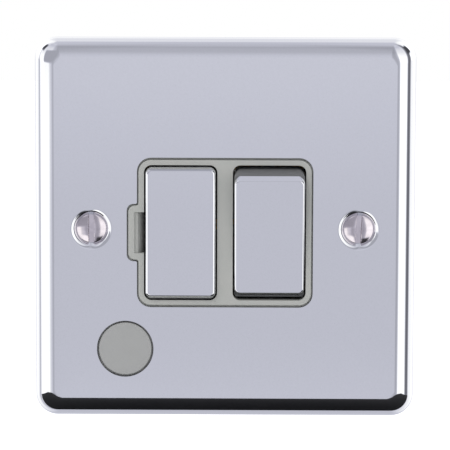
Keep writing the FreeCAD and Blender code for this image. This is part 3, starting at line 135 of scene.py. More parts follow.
def polished_chrome(name, colour):
    """Decorative chrome plate on polished steel: mirror-bright, with a faint haze, fine wiping
    marks and the slow waviness of thin sheet, which keeps its reflections from looking drawn."""
    material, tree, place, shader = new_material(name)
    haze = noise(tree, place, size_mm=6.0)
    wear = noise(tree, place, size_mm=0.35, detail=6.0, roughness=0.7)
    tree.links.new(spread(tree, haze, 0.035, 0.06), shader.inputs["Roughness"])
    tint = mixed(tree, spread(tree, wear, 0.0, 0.5), colour, linear("#DCDDE0"))
    tree.links.new(tint, shader.inputs["Base Color"])
    shader.inputs["Metallic"].default_value = 1.0
    waviness = bumped(tree, noise(tree, place, size_mm=14.0, detail=1.0), depth_mm=0.004)
    tree.links.new(waviness, shader.inputs["Normal"])
    return material


def moulded_plastic(name, colour, shade, roughness, grain_depth):
    """Moulded thermoset: a satin skin from a spark-eroded tool, which softens its highlights,
    and faint mottling where the melt flowed."""
    material, tree, place, shader = new_material(name)
    flow = noise(tree, place, size_mm=5.0)
    skin = noise(tree, place, size_mm=0.12, detail=4.0, roughness=0.6)
    tint = mixed(tree, spread(tree, flow, 0.0, 1.0), colour, shade)
    tree.links.new(tint, shader.inputs["Base Color"])
    low, high = roughness
    tree.links.new(spread(tree, flow, low, high), shader.inputs["Roughness"])
    tree.links.new(bumped(tree, skin, grain_depth), shader.inputs["Normal"])
    shader.inputs["IOR"].default_value = 1.5
    return material


def plated_metal(name, colour, shade, roughness, grain_mm, grain_depth):
    """Stamped or turned metal with a thin plating: cloudy tone and fine tool marks."""
    material, tree, place, shader = new_material(name)
    cloud = noise(tree, place, size_mm=grain_mm * 6, detail=4.0, roughness=0.6)
    marks = noise(tree, place, size_mm=grain_mm, detail=5.0, roughness=0.65)
    tint = mixed(tree, spread(tree, cloud, 0.0, 1.0), colour, shade)
    tree.links.new(tint, shader.inputs["Base Color"])
    low, high = roughness
    tree.links.new(spread(tree, marks, low, high), shader.inputs["Roughness"])
    tree.links.new(bumped(tree, marks, grain_depth), shader.inputs["Normal"])
    shader.inputs["Metallic"].default_value = 1.0
    return material


def fired_ceramic(name):
    """Unglazed steatite tube: matt, off-white, with a fine powdery skin."""
    material, tree, place, shader = new_material(name)
    cloud = noise(tree, place, size_mm=1.5)
    grain = noise(tree, place, size_mm=0.08, detail=4.0)
    tint = mixed(tree, spread(tree, cloud, 0, 1), linear("#EFEDE6"), linear("#E2DFD5"))
    tree.links.new(tint, shader.inputs["Base Color"])
    tree.links.new(bumped(tree, grain, 0.006), shader.inputs["Normal"])
    shader.inputs["Roughness"].default_value = 0.62
    shader.inputs["IOR"].default_value = 1.6
    return material


def polished_screw(name):
    """Nickel plate on a machined head: bright, a little warm, with fine turning marks."""
    material, tree, place, shader = new_material(name)
    cloud = noise(tree, place, size_mm=1.6)
    marks = noise(tree, place, size_mm=0.15, detail=5.0, roughness=0.65)
    tint = mixed(tree, spread(tree, cloud, 0.0, 1.0), linear("#DAD3D8"), linear("#CCC5CA"))
    tree.links.new(tint, shader.inputs["Base Color"])
    tree.links.new(spread(tree, cloud, 0.05, 0.14), shader.inputs["Roughness"])
    tree.links.new(bumped(tree, marks, 0.0015), shader.inputs["Normal"])
    shader.inputs["Metallic"].default_value = 1.0
    return material


def dress(slot_name, material):
    """Gives a material to every CAD node of a slot."""
    for entry in frame["record"]["subparts"]:
        if entry["material_slot"] == slot_name:
            item = nodes[entry["node"]]
            item.data.materials.clear()
            item.data.materials.append(material)


# Per slot: the material's name, its two tones, its least and most roughness and its grain's depth
# in mm. Metals also give their grain's width in mm before its depth
MOULDED_PLASTICS = (
    ("dark_grey_moulding", "dark_grey_plastic", "#6E6F70", "#686969", (0.4, 0.5), 0.004),
    ("housing_moulding", "housing_thermoset", "#8E908D", "#868885", (0.45, 0.58), 0.008),
)
PLATED_METALS = (
    ("zinc_steel", "bright_zinc_steel", "#C9CDD2", "#B4B9C0", (0.22, 0.4), 0.2, 0.004),
    ("terminal_brass", "machined_brass", "#D9B56A", "#C9A45A", (0.2, 0.34), 0.15, 0.003),
    ("plated_screw", "nickel_plated_steel", "#CDC9BE", "#BCB8AD", (0.22, 0.34), 0.15, 0.003),
    ("strip_brass", "rolled_bronze_strip", "#D8A86A", "#C8965A", (0.24, 0.36), 0.1, 0.002),
    ("silver_contact", "silver_rivet", "#E4E1DA", "#D2CEC6", (0.25, 0.4), 0.1, 0.002),
    ("fuse_cap_metal", "nickel_plated_brass", "#D6D2C8", "#C6C1B5", (0.16, 0.28), 0.12, 0.002),
    ("spring_steel", "drawn_spring_wire", "#A8A9AB", "#8E8F92", (0.25, 0.4), 0.08, 0.002),
)


class SpurUnitSettings(bpy.types.PropertyGroup):
    chrome: bpy.props.FloatVectorProperty(
        name="Chrome",
        description="Colour of the chromed pieces",
        default=linear("#E4E5E8"),
        subtype="COLOR",
        size=4,
        min=0,
        max=1,
    )
    bezel: bpy.props.FloatVectorProperty(
        name="Bezel",
        description="Colour of the light grey moulding",
        default=linear("#ABACA7"),
        subtype="COLOR",
        size=4,
        min=0,
        max=1,
    )
    blank: bpy.props.FloatVectorProperty(
        name="Blank",
        description="Colour of the flex outlet's blank",
        default=linear("#A0A19F"),
        subtype="COLOR",
        size=4,
        min=0,
        max=1,
    )
    floor_drop: bpy.props.FloatProperty(
        name="Floor", description="Floor below the fixing line", default=0.12, unit="LENGTH"
    )


class SPUR_OT_finishes(bpy.types.Operator):
    """Gives every solid its finish"""

    bl_idname = "spur.finishes"
    bl_label = "Finishes"

    def execute(self, context):
        settings = context.scene.spur_unit
        chrome, bezel = tuple(settings.chrome), tuple(settings.bezel)
        dress("chrome_plate", polished_chrome("polished_chrome_sheet", chrome))
        grey = moulded_plastic(
            "light_grey_thermoset", bezel, linear("#A7A9A4"), (0.38, 0.46), 0.004
        )
        dress("light_grey_moulding", grey)
        for slot, name, colour, shade, roughness, depth in MOULDED_PLASTICS:
            dress(slot, moulded_plastic(name, linear(colour), linear(shade), roughness, depth))
        for slot, name, colour, shade, roughness, width, depth in PLATED_METALS:
            metal = plated_metal(name, linear(colour), linear(shade), roughness, width, depth)
            dress(slot, metal)
        dress("fuse_ceramic", fired_ceramic("fired_steatite"))
        return {"FINISHED"}


# Outlines and shells

# Faces that meet at more than this angle keep a sharp edge
SHARP_ANGLE = math.radians(28)
# Steps round a full circle
ROUND_STEPS = 96


def rounded_line(corners, steps=5):
    """Points along a line through corners, each given with the radius that rounds it."""
    points = [Vector(corners[0][0])]
    for (before, _), (corner, radius), (after, _) in zip(corners, corners[1:], corners[2:]):
        corner = Vector(corner)
        ways = [(Vector(end) - corner).normalized() for end in (before, after)]
        half = ways[0].angle(ways[1]) / 2
        middle = corner + (ways[0] + ways[1]).normalized() * radius / math.sin(half)
        reach = radius / math.tan(half)
        first, last = ((corner + way * reach - middle).normalized() for way in ways)
        for step in range(steps + 1):
            points.append(middle + first.slerp(last, step / steps) * radius)
    points.append(Vector(corners[-1][0]))
    return points


def rounded_rectangle(half_x, half_z, corner, steps=8):
    """Points (x, z) of a rectangle with round corners, seen from the front, anticlockwise."""
    points = []
    for quarter, (side_x, side_z) in enumerate(((1, 1), (-1, 1), (-1, -1), (1, -1))):
        for step in range(steps + 1):
            turn = math.radians(90) * (quarter + step / steps)
            x = side_x * (half_x - corner) + corner * math.cos(turn)
            z = side_z * (half_z - corner) + corner * math.sin(turn)
            points.append((x, z))
    return points


def circle(centre_x, centre_z, radius):
    """Points (x, z) round a centre."""
    turns = [math.radians(360) * i / ROUND_STEPS for i in range(ROUND_STEPS)]
    return [(centre_x + radius * math.cos(t), centre_z + radius * math.sin(t)) for t in turns]


def add_skin(shell, rings):
    """Faces through rings of points in millimetres; gives the rings' vertices."""
    rows = [[shell.verts.new(Vector(point) * MM) for point in ring] for ring in rings]
    count = len(rows[0])
    for near, far in zip(rows, rows[1:]):
        for i in range(count):
            after = (i + 1) % count
            shell.faces.new((near[i], near[after], far[after], far[i]))
    return rows


def loft(name, rings):
    """A closed shell through rings of points in millimetres, with its two ends filled."""
    shell = bmesh.new()
    rows = add_skin(shell, rings)
    shell.faces.new(rows[0])
    shell.faces.new(reversed(rows[-1]))
    bmesh.ops.recalc_face_normals(shell, faces=shell.faces)
    return mesh_piece(name, shell)


def mesh_piece(name, shell):
    """An object from mesh code, smooth but for what its weighted normals keep flat."""
    mesh = bpy.data.meshes.new(name)
    shell.to_mesh(mesh)
    shell.free()
    mesh.polygons.foreach_set("use_smooth", [True] * len(mesh.polygons))
    mesh.set_sharp_from_angle(angle=SHARP_ANGLE)
    item = bpy.data.objects.new(name, mesh)
    bpy.context.scene.collection.objects.link(item)
    weighted = item.modifiers.new("flat_faces_stay_flat", "WEIGHTED_NORMAL")
    weighted.keep_sharp = True
    return item


def finish_piece(item, node, body, material):
    """Puts a piece in the place of a CAD node: its body and its finish."""
    item.data.materials.append(material)
    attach(item, body)
    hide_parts(node)


def box_mm(node):
    """The low and the high corner of a CAD node's box, in millimetres."""
    return [corner / MM for corner in (Vector(c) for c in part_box(node))]


# A cap's corner radius falls by this share of the inset, down to the least one
CORNER_SHRINK = 0.6
LEAST_CORNER = 0.15
# The caps' skirts: the draft of their sides, how far it reaches back past the round edge, and the
# radii that ease it into the skirt, in millimetres
SIDE_DRAFT = 0.06
SIDE_REACH = 0.3
SIDE_HEEL = 0.2
CARRIER_END_HEEL = 0.25
ROCKER_END_HEEL = 0.1


def inset_at(line, back):
    """How far in a line of (inset, back) points is at one depth behind the face."""
    for near, far in zip(line, line[1:]):
        if far.y <= back < near.y:
            return near.x + (near.y - back) / (near.y - far.y) * (far.x - near.x)
    return line[0].x if back >= line[0].y else line[-1].x


def edge_line(back, fall, depth, heel, edge):
    """A cap's edge as (inset, back) points: up the skirt, over the fall, round onto the face."""
    corners = (
        ((0, back, 0), 0),
        ((0, depth, 0), heel),
        ((fall, 0, 0), edge),
        ((fall + 2 * edge, 0, 0), 0),
    )
    line = rounded_line(corners, 10)[:-1]
    return [Vector((point.x, max(round(point.y, 4), 0.0), 0.0)) for point in line]


def pressed_cap(name, sides, ends, half_x, half_z, corner, sheet, centre):
    """A cap pressed from thin sheet, from the edge lines of its sides and of its ends."""
    backs = sorted({point.y for point in (*sides, *ends)}, reverse=True)
    outer = [Vector((inset_at(sides, back), inset_at(ends, back), back)) for back in backs]
    inner = [point + Vector((sheet, sheet, sheet)) for point in reversed(outer)]
    inner[-1].z = outer[0].z
    rings = []
    for point in inner + outer:
        side, end, back = point
        radius = max(corner - max(side, end) * CORNER_SHRINK, LEAST_CORNER)
        ring = rounded_rectangle(half_x - side, half_z - end, radius)
        rings.append([(centre[0] + x, centre[1] + back, centre[2] + z) for x, z in ring])
    return loft(name, rings)


class CapSettings(bpy.types.PropertyGroup):
    sheet: bpy.props.FloatProperty(
        name="Sheet", description="Thickness of the pressed caps", default=0.6 * MM, unit="LENGTH"
    )
    bevel_width: bpy.props.FloatProperty(
        name="Bevel width",
        description="How far the carrier cap's bevel runs in from its ends",
        default=0.85 * MM,
        unit="LENGTH",
    )
    bevel_depth: bpy.props.FloatProperty(
        name="Bevel depth",
        description="How far the carrier cap's bevel runs back from its face",
        default=1.42 * MM,
        unit="LENGTH",
    )
    carrier_corner: bpy.props.FloatProperty(
        name="Carrier corner",
        description="Corner radius of the carrier cap",
        default=1.35 * MM,
        unit="LENGTH",
    )
    rocker_corner: bpy.props.FloatProperty(
        name="Rocker corner",
        description="Corner radius of the rocker cap",
        default=1.5 * MM,
        unit="LENGTH",
    )
    carrier_edge: bpy.props.FloatProperty(
        name="Carrier edge",
        description="Radius that rounds the long edges of the carrier cap",
        default=0.65 * MM,
        unit="LENGTH",
    )
    rocker_edge: bpy.props.FloatProperty(
        name="Rocker edge",
        description="Radius that rounds the long edges of the rocker cap",
        default=0.5 * MM,
        unit="LENGTH",
    )
    end_edge: bpy.props.FloatProperty(
        name="End edge",
        description="Radius where a cap's face meets the fall at its ends",
        default=0.25 * MM,
        unit="LENGTH",
    )


class SPUR_OT_carrier_cap(bpy.types.Operator):
    """Presses the chromed cap of the fuse carrier, with a steep bevel round its face"""

    bl_idname = "spur.carrier_cap"
    bl_label = "Fuse carrier cap"

    def execute(self, context):
        caps = context.scene.spur_caps
        low, high = box_mm("fuse_carrier_cap")
        half_x, half_z = (high.x - low.x) / 2, (high.z - low.z) / 2
        back, edge = high.y - low.y, caps.carrier_edge / MM
        sides = edge_line(back, SIDE_DRAFT, edge + SIDE_REACH, SIDE_HEEL, edge)
        width, depth = caps.bevel_width / MM, caps.bevel_depth / MM
        ends = edge_line(back, width, depth, CARRIER_END_HEEL, caps.end_edge / MM)
        centre = ((low.x + high.x) / 2, low.y, (low.z + high.z) / 2)
        cap = pressed_cap(
            "carrier_cap",
            sides,
            ends,
            half_x,
            half_z,
            caps.carrier_corner / MM,
            caps.sheet / MM,
            centre,
        )
        chrome = polished_chrome(
            "polished_chrome_carrier_cap", tuple(context.scene.spur_unit.chrome)
        )
        finish_piece(cap, "fuse_carrier_cap", "fuse_carrier", chrome)
        return {"FINISHED"}


class PlateSettings(bpy.types.PropertyGroup):
    rim: bpy.props.FloatProperty(
        name="Rim", description="Radius of the plate's rolled edge", default=4.5 * MM, unit="LENGTH"
    )
    corner: bpy.props.FloatProperty(
        name="Corner", description="Corner radius of the plate", default=5.0 * MM, unit="LENGTH"
    )
    sheet: bpy.props.FloatProperty(
        name="Sheet", description="Thickness of the plate's steel", default=1.0 * MM, unit="LENGTH"
    )
    dimple: bpy.props.FloatProperty(
        name="Dimple", description="Mouth radius of the screws' dimples", default=4.2 * MM, unit="LENGTH"
    )
    dimple_round: bpy.props.FloatProperty(
        name="Dimple round",
        description="Radius that rounds the dimples' mouths",
        default=1.3 * MM,
        unit="LENGTH",
    )
    outlet: bpy.props.FloatProperty(
        name="Outlet", description="Radius of the flex outlet's hole", default=6.4 * MM, unit="LENGTH"
    )


# The plate in millimetres, as the solid has it. The opening that shows the bezel lies a little
# below the fixing line, and a tab of it reaches out beside the fuse carrier
BEZEL_MIDDLE = -0.8
OPENING_HALF_WIDTH = 19.85
OPENING_HALF_HEIGHT = 16.95
OPENING_CORNER = 3.15
TAB_REACH = 2.3
TAB_HALF_HEIGHT = 6.5
TAB_CORNER = 1.5
TAB_ROOT = 0.4
DIMPLE_HOLE = 1.95
DIMPLE_LAND = 0.6
SCREW_CENTRE_X = 30.15
# The corner radius falls by this share of the inset, so that the rolled edge narrows at the corners
PLATE_CORNER_SHRINK = 0.75
RIM_STEPS = 18
DIMPLE_STEPS = 12


def opening_outline():
    """The opening that the bezel and its tab show through, anticlockwise from the top's middle."""
    top, bottom = BEZEL_MIDDLE + OPENING_HALF_HEIGHT, BEZEL_MIDDLE - OPENING_HALF_HEIGHT
    side, tab = OPENING_HALF_WIDTH, OPENING_HALF_WIDTH + TAB_REACH
    tab_top, tab_bottom = BEZEL_MIDDLE + TAB_HALF_HEIGHT, BEZEL_MIDDLE - TAB_HALF_HEIGHT
    corners = (
        (0, top, 0),
        (-side, top, OPENING_CORNER),
        (-side, tab_top, TAB_ROOT),
        (-tab, tab_top, TAB_CORNER),
        (-tab, tab_bottom, TAB_CORNER),
        (-side, tab_bottom, TAB_ROOT),
        (-side, bottom, OPENING_CORNER),
        (side, bottom, OPENING_CORNER),
        (side, top, OPENING_CORNER),
        (0, top, 0),
    )
    line = rounded_line([((x, z, 0), radius) for x, z, radius in corners], 8)
    return [(point.x, point.y) for point in line[:-1]]


def pierced_sheet(name, outside, holes):
    """A closed sheet. Each list of rings starts on the front face and ends on the back face."""
    shell = bmesh.new()
    edges = {"front": [], "back": []}
    for rings in (outside, *holes):
        rows = add_skin(shell, rings)
        for face, row in (("front", rows[0]), ("back", rows[-1])):
            for near, far in zip(row, (*row[1:], row[0])):
                edges[face].append(shell.edges.get((near, far)))
    for border in edges.values():
        bmesh.ops.triangle_fill(shell, use_beauty=True, edges=border)
    bmesh.ops.recalc_face_normals(shell, faces=shell.faces)
    return mesh_piece(name, shell)


def dimple_rings(centre_x, front, back, plate):
    """Rings of a screw's dimple, from the face down to the hole and up the dish's back."""
    mouth, sheet = plate.dimple / MM, plate.sheet / MM
    fall = mouth - DIMPLE_HOLE
    seat = rounded_line(
        (
            ((mouth * 2, front, 0), 0),
            ((mouth, front, 0), plate.dimple_round / MM),
            ((DIMPLE_HOLE, front + fall, 0), 0),
        ),
        DIMPLE_STEPS,
    )[1:]
    land = front + fall + DIMPLE_LAND
    rear = mouth + sheet * (math.sqrt(2) - 1)
    dish = (
        (DIMPLE_HOLE, land, 0),
        (rear - (land - back), land, 0),
        (rear, back, 0),
    )
    return [
        [(x, point[1], z) for x, z in circle(centre_x, 0.0, point[0])]
        for point in (*seat, *dish)
    ]


class SPUR_OT_front_plate(bpy.types.Operator):
    """Presses the front plate from sheet, with a rolled edge, two dimples and its openings"""

    bl_idname = "spur.front_plate"
    bl_label = "Front plate"

    def execute(self, context):
        plate = context.scene.spur_plate
        low, high = box_mm("front_plate")
        half_x, half_z = high.x, high.z
        front, sheet = low.y, plate.sheet / MM
        rim, corner = plate.rim / MM, plate.corner / MM
        outer = rounded_line(
            (((0, high.y, 0), 0), ((0, front, 0), rim), ((rim * 2, front, 0), 0)), RIM_STEPS
        )[:-1]
        inner = rounded_line(
            (
                ((sheet, high.y, 0), 0),
                ((sheet, front + sheet, 0), rim - sheet),
                ((rim * 2, front + sheet, 0), 0),
            ),
            8,
        )[:-1]
        outside = []
        for point in (*reversed(outer), *inner):
            radius = corner - point.x * PLATE_CORNER_SHRINK
            ring = rounded_rectangle(half_x - point.x, half_z - point.x, radius, 12)
            outside.append([(x, point.y, z) for x, z in ring])
        back = front + sheet
        blank_low, blank_high = box_mm("flex_outlet_blank")
        middle = (blank_low + blank_high) / 2
        outlet = circle(middle.x, middle.z, plate.outlet / MM)
        holes = [
            [[(x, y, z) for x, z in outline] for y in (front, back)]
            for outline in (opening_outline(), outlet)
        ]
        holes += [dimple_rings(side * SCREW_CENTRE_X, front, back, plate) for side in (-1, 1)]
        piece = pierced_sheet("front_plate_pressed", outside, holes)
        chrome = polished_chrome("polished_chrome_plate", tuple(context.scene.spur_unit.chrome))
        finish_piece(piece, "front_plate", "fixed", chrome)
        return {"FINISHED"}


# The rocker at its own level, in millimetres from its pivot, and the tilt of the drawn position
ROCKER_HALF_X = 7.92
ROCKER_FACE = 5.98
ROCKER_SKIRT = 4.4
ROCKER_FACE_HALF = 12.9
ROCKER_SKIRT_HALF = 13.85
ROCKER_TILT = math.radians(8.0)


def rocker_pivot():
    """Where the rocker's trunnions lie, in metres."""
    for joint in frame["joints"]:
        if joint["name"] == "rocker_swing":
            return Vector(joint["pos_m"])
    raise ValueError("the frame has no rocker_swing joint")


class SPUR_OT_rocker_cap(bpy.types.Operator):
    """Presses the chromed cap of the rocker, with a sloped fall at both ends"""

    bl_idname = "spur.rocker_cap"
    bl_label = "Rocker cap"

    def execute(self, context):
        caps = context.scene.spur_caps
        edge = caps.rocker_edge / MM
        fall = ROCKER_SKIRT_HALF - ROCKER_FACE_HALF
        back = ROCKER_FACE - ROCKER_SKIRT
        sides = edge_line(back, SIDE_DRAFT, edge + SIDE_REACH, SIDE_HEEL, edge)
        ends = edge_line(back, fall, back - ROCKER_END_HEEL, ROCKER_END_HEEL, caps.end_edge / MM)
        cap = pressed_cap(
            "rocker_cap_pressed",
            sides,
            ends,
            ROCKER_HALF_X,
            ROCKER_SKIRT_HALF,
            caps.rocker_corner / MM,
            caps.sheet / MM,
            (0, -ROCKER_FACE, 0),
        )
        place = Matrix.Translation(rocker_pivot()) @ Matrix.Rotation(ROCKER_TILT, 4, "X")
        cap.data.transform(place)
        chrome = polished_chrome(
            "polished_chrome_rocker_cap", tuple(context.scene.spur_unit.chrome)
        )
        finish_piece(cap, "rocker_cap", "rocker", chrome)
        return {"FINISHED"}


class ScrewSettings(bpy.types.PropertyGroup):
    crown: bpy.props.FloatProperty(
        name="Crown",
        description="Height of the head's dome over its rim",
        default=0.78 * MM,
        unit="LENGTH",
    )
    slot_width: bpy.props.FloatProperty(
        name="Slot width", description="Width of the driver slot", default=1.25 * MM, unit="LENGTH"
    )
    slot_depth: bpy.props.FloatProperty(
        name="Slot depth",
        description="Depth of the driver slot from the crown",
        default=1.0 * MM,
        unit="LENGTH",
    )
    slot_turn: bpy.props.FloatProperty(
        name="Slot turn",
        description="Turn of the right screw's slot from upright",
        default=math.radians(3),
        subtype="ANGLE",
    )


# The screws in millimetres
HEAD_RADIUS = 3.5
COUNTERSINK = 1.75
SHANK_RADIUS = 1.75
NECK_RADIUS = 1.55
NECK_END = -2.0
NECK_RUNOUT = 0.2
TIP_CHAMFER = 0.3
# The dome: the share of the head that it covers, the share of the crown that it falls by there,
# and the power with which it falls
DOME_REACH = 0.9
DOME_FALL = 0.8
DOME_POWER = 2.6
DOME_STEPS = 14
# The head's rim: its rounding, and how far it is undercut and how deep
RIM_ROUND = 0.14
RIM_LIFT = 0.05
RIM_UNDERCUT = 0.2
# Radius of the small flat that closes a turned form at its middle
MIDDLE_FLAT = 0.05


def turned(name, profile):
    """A solid turned about Y from (radius, y) points, closed at both ends."""
    rings = [[(x, y, z) for x, z in circle(0.0, 0.0, radius)] for radius, y in profile]
    return loft(name, rings)


def head_profile(rim_y, crown):
    """A raised countersunk head: nearly flat on top, falling ever faster, then round its rim."""
    dome = []
    for i in range(1, DOME_STEPS + 1):
        share = i / DOME_STEPS * DOME_REACH
        fall = DOME_FALL * crown * share**DOME_POWER
        dome.append((HEAD_RADIUS * share, rim_y - crown + fall))
    edge = (
        ((*dome[-1], 0), 0),
        ((HEAD_RADIUS, rim_y - RIM_LIFT, 0), RIM_ROUND),
        ((HEAD_RADIUS - RIM_UNDERCUT, rim_y + RIM_UNDERCUT, 0), 0),
    )
    rim = [(point.x, point.y) for point in rounded_line(edge, 6)]
    return [(MIDDLE_FLAT, rim_y - crown), *dome[:-1], *rim]


class SPUR_OT_fixing_screws(bpy.types.Operator):
    """Turns the two fixing screws and cuts their driver slots"""

    bl_idname = "spur.fixing_screws"
    bl_label = "Fixing screws"

    def execute(self, context):
        screws = context.scene.spur_screws
        steel = polished_screw("polished_nickel_screw")
        for side, node, turn in (
            (-1, "fixing_screw_left", 0.0),
            (1, "fixing_screw_right", screws.slot_turn),
        ):
            low, high = box_mm(node)
            crown = screws.crown / MM
            rim_y = low.y + crown
            profile = [
                *head_profile(rim_y, crown),
                (NECK_RADIUS, rim_y + COUNTERSINK),
                (NECK_RADIUS, NECK_END - NECK_RUNOUT),
                (SHANK_RADIUS, NECK_END),
                (SHANK_RADIUS, high.y - TIP_CHAMFER),
                (SHANK_RADIUS - TIP_CHAMFER, high.y),
            ]
            screw = turned(node + "_turned", profile)
            width, depth = screws.slot_width / MM, screws.slot_depth / MM
            slot = loft(node + "_slot", slot_rings(width, low.y, depth))
            cut = screw.modifiers.new("slot", "BOOLEAN")
            cut.operation = "DIFFERENCE"
            cut.solver = "EXACT"
            cut.object = slot
            cut_mesh = bpy.data.meshes.new_from_object(
                screw.evaluated_get(context.evaluated_depsgraph_get())
            )
            screw.modifiers.clear()
            screw.data = cut_mesh
            bpy.data.objects.remove(slot)
            cut_mesh.set_sharp_from_angle(angle=SHARP_ANGLE)
            centre = Matrix.Translation((side * SCREW_CENTRE_X * MM, 0, 0))
            cut_mesh.transform(centre @ Matrix.Rotation(turn, 4, "Y"))
            finish_piece(screw, node, "fixed", steel)
        return {"FINISHED"}


def slot_rings(width, top, depth):
    """A block as wide as the slot, longer than the head is wide, with its floor's corners eased."""
    ease, reach = 0.08, HEAD_RADIUS * 1.5
    section = (
        (-width / 2, top - depth),
        (width / 2, top - depth),
        (width / 2, top + depth - ease),
        (width / 2 - ease, top + depth),
        (-width / 2 + ease, top + depth),
        (-width / 2, top + depth - ease),
    )
    return [[(x, y, z) for x, y in section] for z in (-reach, reach)]


# The outlet's blank in millimetres
BLANK_FACE_RADIUS = 6.0
BLANK_HOLLOW_RADIUS = 5.03
BLANK_FLANGE = 0.9
BLANK_WALL = 1.0
BLANK_SOFT_EDGE = 0.28


class SPUR_OT_outlet_blank(bpy.types.Operator):
    """Moulds the round blank in the flex outlet, with a softened edge"""

    bl_idname = "spur.outlet_blank"
    bl_label = "Outlet blank"

    def execute(self, context):
        settings = context.scene.spur_unit
        low, high = box_mm("flex_outlet_blank")
        inside, flange_radius = low.y + BLANK_WALL, (high.x - low.x) / 2
        flange_y = high.y - BLANK_FLANGE
        # Radius, depth and rounding of each corner, from the hollow to the face
        corners = (
            (MIDDLE_FLAT, inside, 0.02),
            (BLANK_HOLLOW_RADIUS, inside, 0.3),
            (BLANK_HOLLOW_RADIUS, high.y, 0.02),
            (flange_radius, high.y, 0.15),
            (flange_radius, flange_y, 0.15),
            (BLANK_FACE_RADIUS, flange_y, 0.1),
            (BLANK_FACE_RADIUS, low.y, BLANK_SOFT_EDGE),
            (MIDDLE_FLAT, low.y, 0.02),
        )
        line = rounded_line([((radius, y, 0), rounding) for radius, y, rounding in corners])
        blank = turned("outlet_blank", [(point.x, point.y) for point in line])
        middle = Vector(((low.x + high.x) / 2, 0, (low.z + high.z) / 2)) * MM
        blank.data.transform(Matrix.Translation(middle))
        plastic = moulded_plastic(
            "grey_blank_plastic", tuple(settings.blank), linear("#9D9E9C"), (0.42, 0.5), 0.004
        )
        finish_piece(blank, "flex_outlet_blank", "fixed", plastic)
        return {"FINISHED"}


# Stage


def flat_mesh(name, corners, material):
    """One face of the stage."""
    mesh = bpy.data.meshes.new(name)
    mesh.from_pydata(corners, [], [tuple(range(len(corners)))])
    item = bpy.data.objects.new(name, mesh)
    bpy.context.scene.collection.objects.link(item)
    mesh.materials.append(material)
    return item


def studio_white(name, share):
    """Painted board: diffuse for the light, and lifted to white where it is seen."""
    material = bpy.data.materials.new(name)
    material.use_nodes = True
    tree = material.node_tree
    tree.nodes.clear()
    path = add_node(tree, "ShaderNodeLightPath")
    board = add_node(tree, "ShaderNodeBsdfDiffuse", {"Color": (0.82, 0.82, 0.82, 1)})
    lift = add_node(tree, "ShaderNodeEmission", {"Color": (1, 1, 1, 1), "Strength": share})
    lifted = add_node(
        tree, "ShaderNodeAddShader", {0: board.outputs[0], 1: lift.outputs[0]}
    )
    choice = add_node(
        tree,
        "ShaderNodeMixShader",
        {0: path.outputs["Is Camera Ray"], 1: board.outputs[0], 2: lifted.outputs[0]},
    )
    add_node(tree, "ShaderNodeOutputMaterial", {"Surface": choice.outputs[0]})
    return material


def area_light(name, place, aim, size, power, colour):
    """A rectangular soft lamp that faces its aim."""
    lamp = bpy.data.lights.new(name, "AREA")
    lamp.shape = "RECTANGLE"
    lamp.size, lamp.size_y = size
    lamp.energy = power
    lamp.color = colour
    item = bpy.data.objects.new(name, lamp)
    item.location = place
    item.rotation_euler = (Vector(aim) - Vector(place)).to_track_quat("-Z", "Y").to_euler()
    bpy.context.scene.collection.objects.link(item)
    return item


# The brightness straight ahead of a mirror that faces -Y, and the tint of all that isn't bright
AHEAD = 0.775
AHEAD_TINT = (0.885, 0.892, 1.0, 1.0)
WHITE = (1.0, 1.0, 1.0, 1.0)
# From the first share on, a board loses the tint, and from the second on it is white
TINT_FADES = (1.02, 1.5)
# The highest share that a curve can hold
BRIGHTEST = 2.0
# What such a mirror sees, as shares of its brightness straight ahead.
# Degrees round the horizon from straight ahead, negative to the left
ROUND_STOPS = (
    (-180, 0.95),
    (-160, 1.1),
    (-135, 1.65),
    (-112, 1.55),
    (-101, 0.9),
    (-95, 0.85),
    (-87, 1.85),
    (-34, 1.85),
    (-26, 1.26),
    (-18, 1.1),
    (-12, 0.76),
    (-6, 0.82),
    (-4.5, 1.0),
    (4.5, 1.0),
    (6, 0.72),
    (12, 0.72),
    (18, 0.95),
    (22, 1.85),
    (62, 1.85),
    (70, 0.3),
    (84, 0.25),
    (94, 1.5),
    (135, 1.7),
    (160, 1.1),
    (180, 0.95),
)
# Degrees over the top from straight ahead: 90 is up, 180 is behind and 270 is down
OVER_STOPS = (
    (-90, 0.9),
    (-22, 0.95),
    (-12, 1.01),
    (-10, 1.0),
    (-8.5, 0.95),
    (-5.5, 0.955),
    (-3.3, 1.04),
    (-2, 1.06),
    (14, 1.0),
    (23, 0.92),
    (34, 0.81),
    (54, 0.78),
    (64, 0.73),
    (74, 0.88),
    (101, 1.0),
    (107, 1.28),
    (135, 1.3),
    (150, 1.5),
    (168, 1.5),
    (180, 1.05),
    (270, 0.9),
)


def math_node(tree, operation, *values):
    """A sum on single numbers, each a value or another node's output."""
    inputs = dict(enumerate(values))
    return add_node(tree, "ShaderNodeMath", inputs, operation=operation).outputs[0]


def curve_of(tree, angle, stops):
    """A curve of brightness over an angle."""
    low, high = stops[0][0], stops[-1][0]
    top = BRIGHTEST
    share = add_node(
        tree,
        "ShaderNodeMapRange",
        {"Value": angle, "From Min": math.radians(low), "From Max": math.radians(high)},
    ).outputs["Result"]
    node = add_node(tree, "ShaderNodeFloatCurve", {"Value": share})
    curve = node.mapping.curves[0]
    places = [((at - low) / (high - low), value / top) for at, value in stops]
    curve.points[0].location = places[0]
    curve.points[1].location = places[-1]
    for place in places[1:-1]:
        curve.points.new(*place)
    for point in curve.points:
        point.handle_type = "VECTOR"
    node.mapping.update()
    return math_node(tree, "MULTIPLY", node.outputs["Value"], top)


